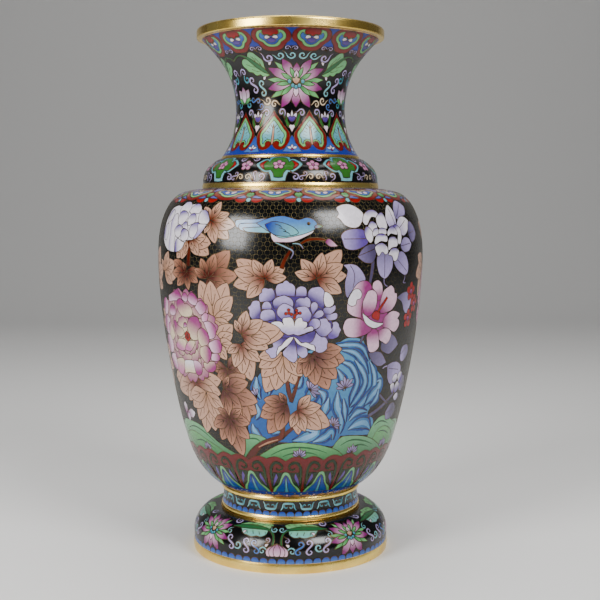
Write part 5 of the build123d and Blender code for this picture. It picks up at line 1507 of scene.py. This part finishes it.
def frontPicture(coat, c=0):
    # painted from the back of the picture forwards
    rockAndTrunk(coat, c)
    groundAndTrunk(coat, c)
    band(coat, [(-45.4, 236), (-45.2, 226), (-45.7, 212)], [3.6, 3.8, 4.2], "brown", c, tint="umber")
    band(coat, [(34.6, 222), (34.4, 212), (33.2, 198)], [3.6, 3.4, 3], "greyLilac", c)
    band(coat, [(33, 165), (32, 158), (30.5, 150)], [3, 2.8, 2], "greyLilac", c)
    band(coat, [(40.4, 85), (48, 90.6), (58, 101)], [3.6, 3.8, 3], "greyLilac", c)
    band(coat, [(45.6, 103), (50, 97), (54, 93)], [2.6, 2.8, 1.6], "greyLilac", c)
    band(coat, [(40.8, 203), (41, 198), (43, 195.4)], [1.5, 1.4, 1.2], "mauve", c)
    band(coat, [(54.4, 205), (54.6, 201), (53.4, 197.6), (55.6, 197.2)], [1.3, 1.4, 1.4, 1], "mauve", c)
    band(coat, [(45.2, 125.6), (47.4, 127.2), (51, 126)], [1.6, 1.4, 1.2], "lilac", c)
    leaves(coat, salmonLeaves[21:] + salmonLeaves[:10], c)
    draw(coat, [(21, 214.4, 1), (24.4, 215), (27.4, 213), (30, 207.4), (31, 201), (28, 190), (23, 188), (21.8, 198),
        (22.4, 206), (22.8, 210)], "mauve", "lilac", (24, 190), (27, 214), c)
    coat.line(outline([((c + x) * 2, y) for x, y in ((24, 214), (26, 206), (25.4, 196))], False))
    draw(coat, [(47, 156, 1), (51.4, 151.6), (54.4, 144.6, 1), (49, 138), (44.6, 139.6), (42, 144), (43, 152)],
        "greyLilac", "mauve", (43, 150), (54, 144), c)
    draw(coat, [(35, 141, 1), (39, 141.6), (43, 139.6), (47, 130.6, 1), (43, 128), (39, 131), (36.6, 136)],
        "greyLilac", "mauve", (36, 140), (47, 130), c)
    draw(coat, [(49, 185, 1), (54, 189), (60, 188.6), (62, 180), (59, 170.6), (55.6, 174), (53.4, 181)], "greyLilac",
        "lilac", (50, 186), (62, 176), c)
    for angle, rise in ((61.4, 189), (60.6, 166), (66, 178)):
        blossom(coat, c + angle, rise, 5.2, "red", "brick")
    picture(coat, lilacBlossom[:10], c)
    veined(coat, lilacBlossom[1:10], c)
    picture(coat, lilacBlossom[10:], c)
    picture(coat, lilacSprig[:4], c)
    veined(coat, lilacSprig[:4], c)
    picture(coat, lilacSprig[4:], c)
    picture(coat, pinkPeony, c)
    band(coat, [(38.4, 175), (40.6, 180.4), (43.2, 186.4)], [2.4, 2.2, 2.2], "red", c)
    leaves(coat, salmonLeaves[10:12], c)
    picture(coat, whitePeony, c)
    leaves(coat, salmonLeaves[12:18], c)
    for tip in ((-63, 92), (-54, 84.4), (-60, 78)):
        petal(coat, (c - 64, 80), (c + tip[0], tip[1]), 8, "magenta", "white", 1)
    for reach, count in ((41, 13), (33, 12), (25, 10), (17, 8)):
        for k in range(count):
            tip = moved([(0, reach)], coat.at(c - 50.5, 153), 360 * (k + reach % 2 / 2) / count)[0]
            petal(coat, (c - 50.5, 153), (tip[0] / 2, tip[1]), reach * 7.4 / count, "cream", "rose", 2, 1, 0.5)
    picture(coat, rosePeony, c)
    for k in range(6):
        at = moved([(0, 2.6)], coat.at(c - 49.8, 152.6), 60 * k)[0]
        dot(coat, at[0] / 2, at[1], 1.9, "red")
    dot(coat, c - 49.8, 152.6, 1.6, "brick")
    leaves(coat, salmonLeaves[18:21], c)
    picture(coat, heartPeony, c)
    leaves(coat, [salmonLeaves[8]], c)
    coat.line(outline([((c + 1.6) * 2, y) for y in (172, 169, 166)], False))
    for x, y in ((-1.8, 176), (-0.7, 178.9), (0.4, 175.4), (-0.6, 176.4), (2.4, 178.6), (3.8, 176.4), (1.8, 174.6),
            (2.6, 176.2), (1.6, 172.8)):
        dot(coat, c + x, y, 1.25, "red")
    bird(coat, c)


def backPicture(coat):
    # the far side: the same plants, grown more loosely
    for c in (122, 196):
        for colour, tint, points in mounds[2:]:
            draw(coat, points, colour, tint, (points[0][0], 46), (points[0][0], 72), c)
        tuft(coat, c - 12, 52, 9)
        tuft(coat, c + 22, 52, 9)
    rockAndTrunk(coat, 178)
    groundAndTrunk(coat, 178)
    for line in (
        [(116, 60), (112, 90), (118, 120), (126, 150)], [(112, 90), (99, 130), (88, 180)], [(118, 120), (106, 180),
            (108, 228)],
        [(-120, 60), (-112, 96), (-100, 134)], [(-112, 96), (-124, 140), (-128, 176)], [(-128, 176), (-140, 206),
            (-148, 234)], [(-118, 120), (-94, 190), (-96, 232)],
    ):
        band(coat, line, [4.4, 3.6, 3.2, 2.6][:len(line)], "umber", tint="brown")
    for c, rise, turn, kind in (
        (92, 124, 150, "pale"), (120, 92, -40, "heart"), (140, 130, 170, "pale"), (150, 200, -100, "pale"),
            (-154, 190, -60, "pale"),
        (-80, 200, 30, "pale"), (-82, 132, 160, "heart"), (-140, 106, -50, "pale"), (-150, 140, 60, "pale"),
            (78, 210, -150, "pale"),
        (84, 232, 40, "pale"), (100, 206, 160, "heart"), (124, 196, -30, "pale"), (150, 232, 60, "brown"),
        (112, 118, 200, "pale"), (96, 96, 20, "brown"), (140, 104, 120, "heart"), (166, 214, -60, "pale"),
        (-160, 206, 80, "pale"), (-132, 236, 0, "heart"), (-118, 200, 120, "pale"), (-96, 232, -40, "brown"),
        (-88, 168, 200, "pale"), (-104, 108, 20, "pale"), (-128, 122, 90, "brown"), (-90, 92, -70, "pale"),
        (-146, 160, 30, "heart"), (84, 150, 90, "pale"), (-110, 150, -20, "heart"),
    ):
        tips = []
        for lean, reach in ((-84, 0.8), (-42, 0.95), (0, 1.1), (42, 0.95), (84, 0.8)):
            way = math.radians(turn + lean)
            tips.append((c + 13.5 * math.sin(way) * reach, rise + 28 * math.cos(way) * reach))
        leaves(coat, [((c, rise), tips, kind)])
    bloom(coat, 108, 228, 30, "cream", "violet")
    bloom(coat, 88, 180, 33, "cream", "pink")
    bloom(coat, 126, 150, 40, "purple", "lilac")
    bloom(coat, 168, 186, 36, "magenta", "palePink")
    bloom(coat, -148, 234, 30, "violet", "white")
    bloom(coat, -128, 176, 40, "cream", "magenta")
    bloom(coat, -100, 134, 30, "magenta", "palePink")
    bird(coat, 168)
    leaves(coat, salmonLeaves[18:20], 178)
    bloom(coat, -170, 120, 26, "violet", "lilac")


lowerBorder = {"count": 18, "first": -2.5}
shoulderBand = {"count": 16, "first": -7.5}


def drawLowerBorder(coat):
    d = lowerBorder
    step = 360 / d["count"]
    half = step / 2
    top = []
    for k in range(d["count"]):
        c = d["first"] + k * step
        top += [(c - half, 50.6, 1), (c - half * 0.5, 52.8), (c, 48.6, 1), (c + half * 0.5, 52.8)]
    first = top[0][0]
    curve = outline([(x * 2, *r) for x, *r in top + [(first + 360, 50.6, 1)]], False)
    belt = np.vstack([curve, [(curve[-1][0], 37), (curve[0][0], 37)]])
    # the belt's dark red, darkest at its foot, is partly the enamel's own colour and partly painted shade where the
    # light falls off towards the base
    coat.cell(belt, "darkRed", "brick", (0, 36), (0, 62))
    bar(coat, 11, 37, "darkGreen")
    bar(coat, -1, 11.5, "royal")
    for k in range(d["count"]):
        c = d["first"] + k * step
        stem = c + half
        draw(coat, [(-0.9, 11, 1), (-0.9, 38.5, 1), (0.9, 38.5, 1), (0.9, 11, 1)], "brick", "darkRed", (0, 12),
            (0, 38), stem, wired=False)
        for flip in (-1, 1):
            draw(coat, [(2.2, 19, 1), (3.4, 24), (5.4, 31), (4.6, 36.4, 1), (3, 30), (2, 24)], "purple", "violet",
                (3, 20), (5, 35), stem, flip)
        leaf = [(9.5, 11.6, 1), (7.4, 18.6), (4.6, 23.6), (3.1, 30.6), (1.7, 36.2), (0, 37.6, 1)]
        draw(coat, mirrored(leaf), "mint", "paleLeaf", (0, 12), (0, 36), c)
        pool = [(7.6, 11.6, 1), (5.4, 18.4), (3, 24.4), (1.4, 31.4), (0, 34.4, 1)]
        draw(coat, mirrored(pool), "royal", "azure", (0, 34), (0, 12), c)
        draw(coat, mirrored([(0, 33.4, 1), (0.55, 26), (0.9, 16), (1.4, 11.6, 1)]), "turquoise", "aqua", (0, 12),
            (0, 32), c)
        for flip in (-1, 1):
            line = [(2, 24), (1.8, 34), (2.2, 42), (4.5, 47), (7.5, 45.2), (8.1, 41.4), (6.2, 39.6), (5, 41.6)]
            # the scrolls' dark greens are partly the enamel's own colour and partly painted shade where the light
            # falls off towards the base
            band(coat, line, [1.6, 2.4, 3, 3, 2.8, 2.4, 1.9, 1.5], "darkLeaf", stem, flip, "darkGreen")
            draw(coat, [(2.4, 0.6, 1), (3.4, 4.2), (5.6, 6.4), (8.4, 5.2), (9.9, 2), (9.9, 0.6, 1)], "brick",
                "salmon", (4, 0), (6, 6), c, flip)
        dot(coat, c, 4.6, 2.1, "pink", "white")
        for angle in (-5.6, 5.6):
            dot(coat, c + angle, 8.8, 1, "white", "aqua")
        dot(coat, stem, 8, 1.5, "aqua", "white")


def drawShoulder(coat):
    d = shoulderBand
    step = 360 / d["count"]
    bar(coat, 270.2, 291.5, "brick")
    bar(coat, 290, coat.top + 1, "royal")
    for k in range(d["count"]):
        c = d["first"] + k * step
        between = c + step / 2
        for flip in (-1, 1):
            draw(coat, [(10.4, 270.8, 1), (10.2, 268.4), (9, 266.2), (7, 265.8), (5, 267.6), (4.2, 270.8, 1)], "red",
                "brick", (7, 266), (7, 271), c, flip)
            draw(coat, [(10.2, 270.9, 1), (8.2, 274), (6.2, 273), (4.2, 270.5, 1), (7, 270.2)], "violet", "sky",
                (9, 271), (5, 272), c, flip)
        draw(coat, mirrored([(0, 271.2, 1), (1.6, 273.4), (1.9, 276.2), (0.8, 278.4), (0, 277.6, 1)]), "leaf", "mint",
            (0, 272), (0, 278), between)
        dot(coat, between, 268.8, 2.4, "aqua", "turquoise")
        draw(coat, mirrored([(0, 279.2, 1), (1.4, 282), (2.6, 286), (3, 290.6, 1), (0, 290.6, 1)]), "violet", "lilac",
            (0, 280), (0, 290), between)
        head = [(0, 268.1), (3.5, 268.9), (5.7, 271.6), (8.2, 273.8), (9.6, 278.6), (9, 284.4), (6, 288.2),
            (2.5, 287.4), (0, 284.6, 1)]
        draw(coat, mirrored(head), "brick", "salmon", (0, 270), (0, 290), c)
        line = [(0, 271.4), (3.3, 273), (5.2, 275.6), (7.4, 277.8), (8.2, 281), (7.6, 284.2), (5.4, 286), (3, 284.8),
            (0, 282.2, 1)]
        draw(coat, mirrored(line), "mint", "cream", (0, 272), (0, 286), c)
        pool = [(0, 273.8), (2.8, 275.2), (4.4, 277.6), (6.4, 279.4), (7, 281.2), (6.4, 283.2), (5.2, 284.2),
            (3.2, 282.6), (0, 280.2, 1)]
        draw(coat, mirrored(pool), "sky", "violet", (0, 276), (0, 286), c)
        for flip in (-1, 1):
            draw(coat, [(0.3, 277.2, 1), (1.6, 275.8), (3.2, 278), (2.6, 281.2), (1, 280.2)], "white", "palePink",
                (1, 276), (2, 281), c, flip)
    for k in range(d["count"] * 3):
        c = 360 * k / (d["count"] * 3)
        draw(coat, mirrored([(0, 291.2, 1), (2.6, 292.6), (3.2, 295.6), (3, coat.top + 0.4, 1), (0, coat.top + 0.4,
            1)]), "lilac", "sky", (0, 291), (0, 297), c)


netMesh = {"columns": 121, "firstRow": 47, "rowStep": 3.35, "radius": 2.2, "sides": 10, "wire": 0.22, "sink": 0.10}


def drawNet(coat):
    # rings of fine wire on the black ground, every other row set half a ring along
    n = netMesh
    rows = int((coat.top - n["firstRow"]) / n["rowStep"])
    pitch = 2 * coat.half / n["columns"]
    around = np.radians(np.arange(n["sides"]) * 360 / n["sides"])
    ring = np.stack([np.sin(around), np.cos(around)], axis=1) * n["radius"]
    return [
        (ring + (-coat.half + (i + 0.5 * (j % 2)) * pitch, n["firstRow"] + j * n["rowStep"]), True, 0)
        for j in range(rows)
        for i in range(n["columns"])
    ]


def drawBody():
    coat = Coat("body_enamel", 2, "black")
    backPicture(coat)
    frontPicture(coat)
    drawLowerBorder(coat)
    drawShoulder(coat)
    return coat


def sectors(coat, runs, parts):
    # the runs split by where they stand round the section
    groups = [[] for _ in range(parts)]
    for line, closed in runs:
        turn = ((line[:, 0].mean() + coat.half) / (2 * coat.half)) % 1
        groups[min(parts - 1, int(turn * parts))].append((line, closed))
    return groups


def fireCoat(coat, polish, brass, wireParts=1):
    # one section's enamel in place of its plain node, with its wires
    coat.cut(coats["spacing"])
    piece = coat.enamelPiece(coat.node + "_coat", coats["depth"])
    dress(piece, polish)
    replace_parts(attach(piece, "root"), coat.node)
    count = len(piece.data.polygons)
    prefix = coat.node.replace("_enamel", "")
    for k, runs in enumerate(sectors(coat, coat.wireRuns(), wireParts)):
        wires = coat.wirePiece(prefix + "_cloisons_" + str(k + 1), runs, coats["wireWidth"], coats["sink"])
        dress(wires, brass)
        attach(wires, "root")
        count += 2 * len(wires.data.polygons)
    veins = coat.clearRuns(coat.lines)
    if veins:
        wires = coat.wirePiece(prefix + "_veins", veins, coats["veinWidth"], coats["sink"])
        dress(wires, brass)
        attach(wires, "root")
        count += 2 * len(wires.data.polygons)
    print(coat.node, "cells:", len(coat.cells), "triangles:", count)


polish = enamelMaterial("polished_enamel")
cloisonBrass = metalMaterial("cloison_brass")
netBrass = metalMaterial("net_brass")

for draws in (drawNeck, drawCollar, drawStem, drawFoot):
    print(draws.__name__)
    fireCoat(draws(), polish, cloisonBrass)

print("drawBody")
body = drawBody()
fireCoat(body, polish, cloisonBrass, coats["bodyParts"])
print("laying the net")
for k, runs in enumerate(sectors(body, body.clearRuns(drawNet(body)), coats["bodyParts"])):
    net = body.wirePiece("body_net_" + str(k + 1), runs, netMesh["wire"], netMesh["sink"])
    dress(net, netBrass)
    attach(net, "root")
    print("net", k + 1, "triangles:", 2 * len(net.data.polygons))


studio = {
    "floorSize": 6.0,
    "floorTone": (0.78, 0.77, 0.75),
    "cameraPlace": (0.0, -0.977, 0.310),
    "cameraTilt": 84.88,
    "lens": 65.56,
    "shift": 0.016,
    "skyTone": (0.66, 0.68, 0.72),
    "skyStrength": 0.15,
    # each softbox: where it stands, where it points, its width, height and power
    "softboxes": {
        "left_softbox": ((-1.1, -1.05, 0.85), (0, 0, 0.36), 0.6, 0.9, 30),
        "right_softbox": ((0.86, -1.05, 1.2), (0, 0, 0.36), 0.6, 0.7, 24),
        "top_softbox": ((0.0, 0.2, 1.7), (0, 0, 0.3), 1.4, 0.9, 15),
    },
}


def buildStudio():
    # a pale floor with a swept back, three softboxes and the camera
    s = studio
    bpy.ops.object.select_all(action="DESELECT")
    bpy.ops.mesh.primitive_plane_add(size=s["floorSize"], location=(0, 0, 0))
    floor = bpy.context.object
    floor.name = "studio_floor"
    # the floor's far side is swept up into a backdrop
    bpy.ops.object.mode_set(mode="EDIT")
    bpy.ops.mesh.select_all(action="DESELECT")
    bpy.ops.object.mode_set(mode="OBJECT")
    for edge in floor.data.edges:
        edge.select = all(floor.data.vertices[v].co.y > 0 for v in edge.vertices)
    bpy.ops.object.mode_set(mode="EDIT")
    bpy.ops.mesh.select_mode(type="EDGE")
    bpy.ops.mesh.extrude_region_move(TRANSFORM_OT_translate={"value": (0, 0, 4)})
    bpy.ops.object.mode_set(mode="OBJECT")
    bevel = floor.modifiers.new("sweep", "BEVEL")
    bevel.width = 1.2
    bevel.segments = 16
    bpy.ops.object.modifier_apply(modifier="sweep")
    floor.data.shade_smooth()
    dress(floor, freshMaterial("studio_floor", Roughness=0.65, **{"Base Color": (*s["floorTone"], 1)})[0])

    for name, (place, aim, width, height, power) in s["softboxes"].items():
        light = bpy.data.lights.new(name, "AREA")
        light.shape = "RECTANGLE"
        light.size, light.size_y = width, height
        light.energy = power
        lamp = made(name, light)
        lamp.location = place
        lamp.rotation_mode = "QUATERNION"
        lamp.rotation_quaternion = (Vector(aim) - Vector(place)).to_track_quat("-Z", "Y")

    world = bpy.data.worlds.new("studio_world")
    bpy.context.scene.world = world
    world.use_nodes = True
    world.node_tree.nodes["Background"].inputs["Color"].default_value = (*s["skyTone"], 1)
    world.node_tree.nodes["Background"].inputs["Strength"].default_value = s["skyStrength"]

    view = bpy.data.cameras.new("studio_camera")
    view.lens, view.sensor_width, view.shift_x = s["lens"], 36, s["shift"]
    camera = made("studio_camera", view)
    camera.location = s["cameraPlace"]
    camera.rotation_euler = (math.radians(s["cameraTilt"]), 0, 0)
    bpy.context.scene.camera = camera


print("setting up the studio")
buildStudio()
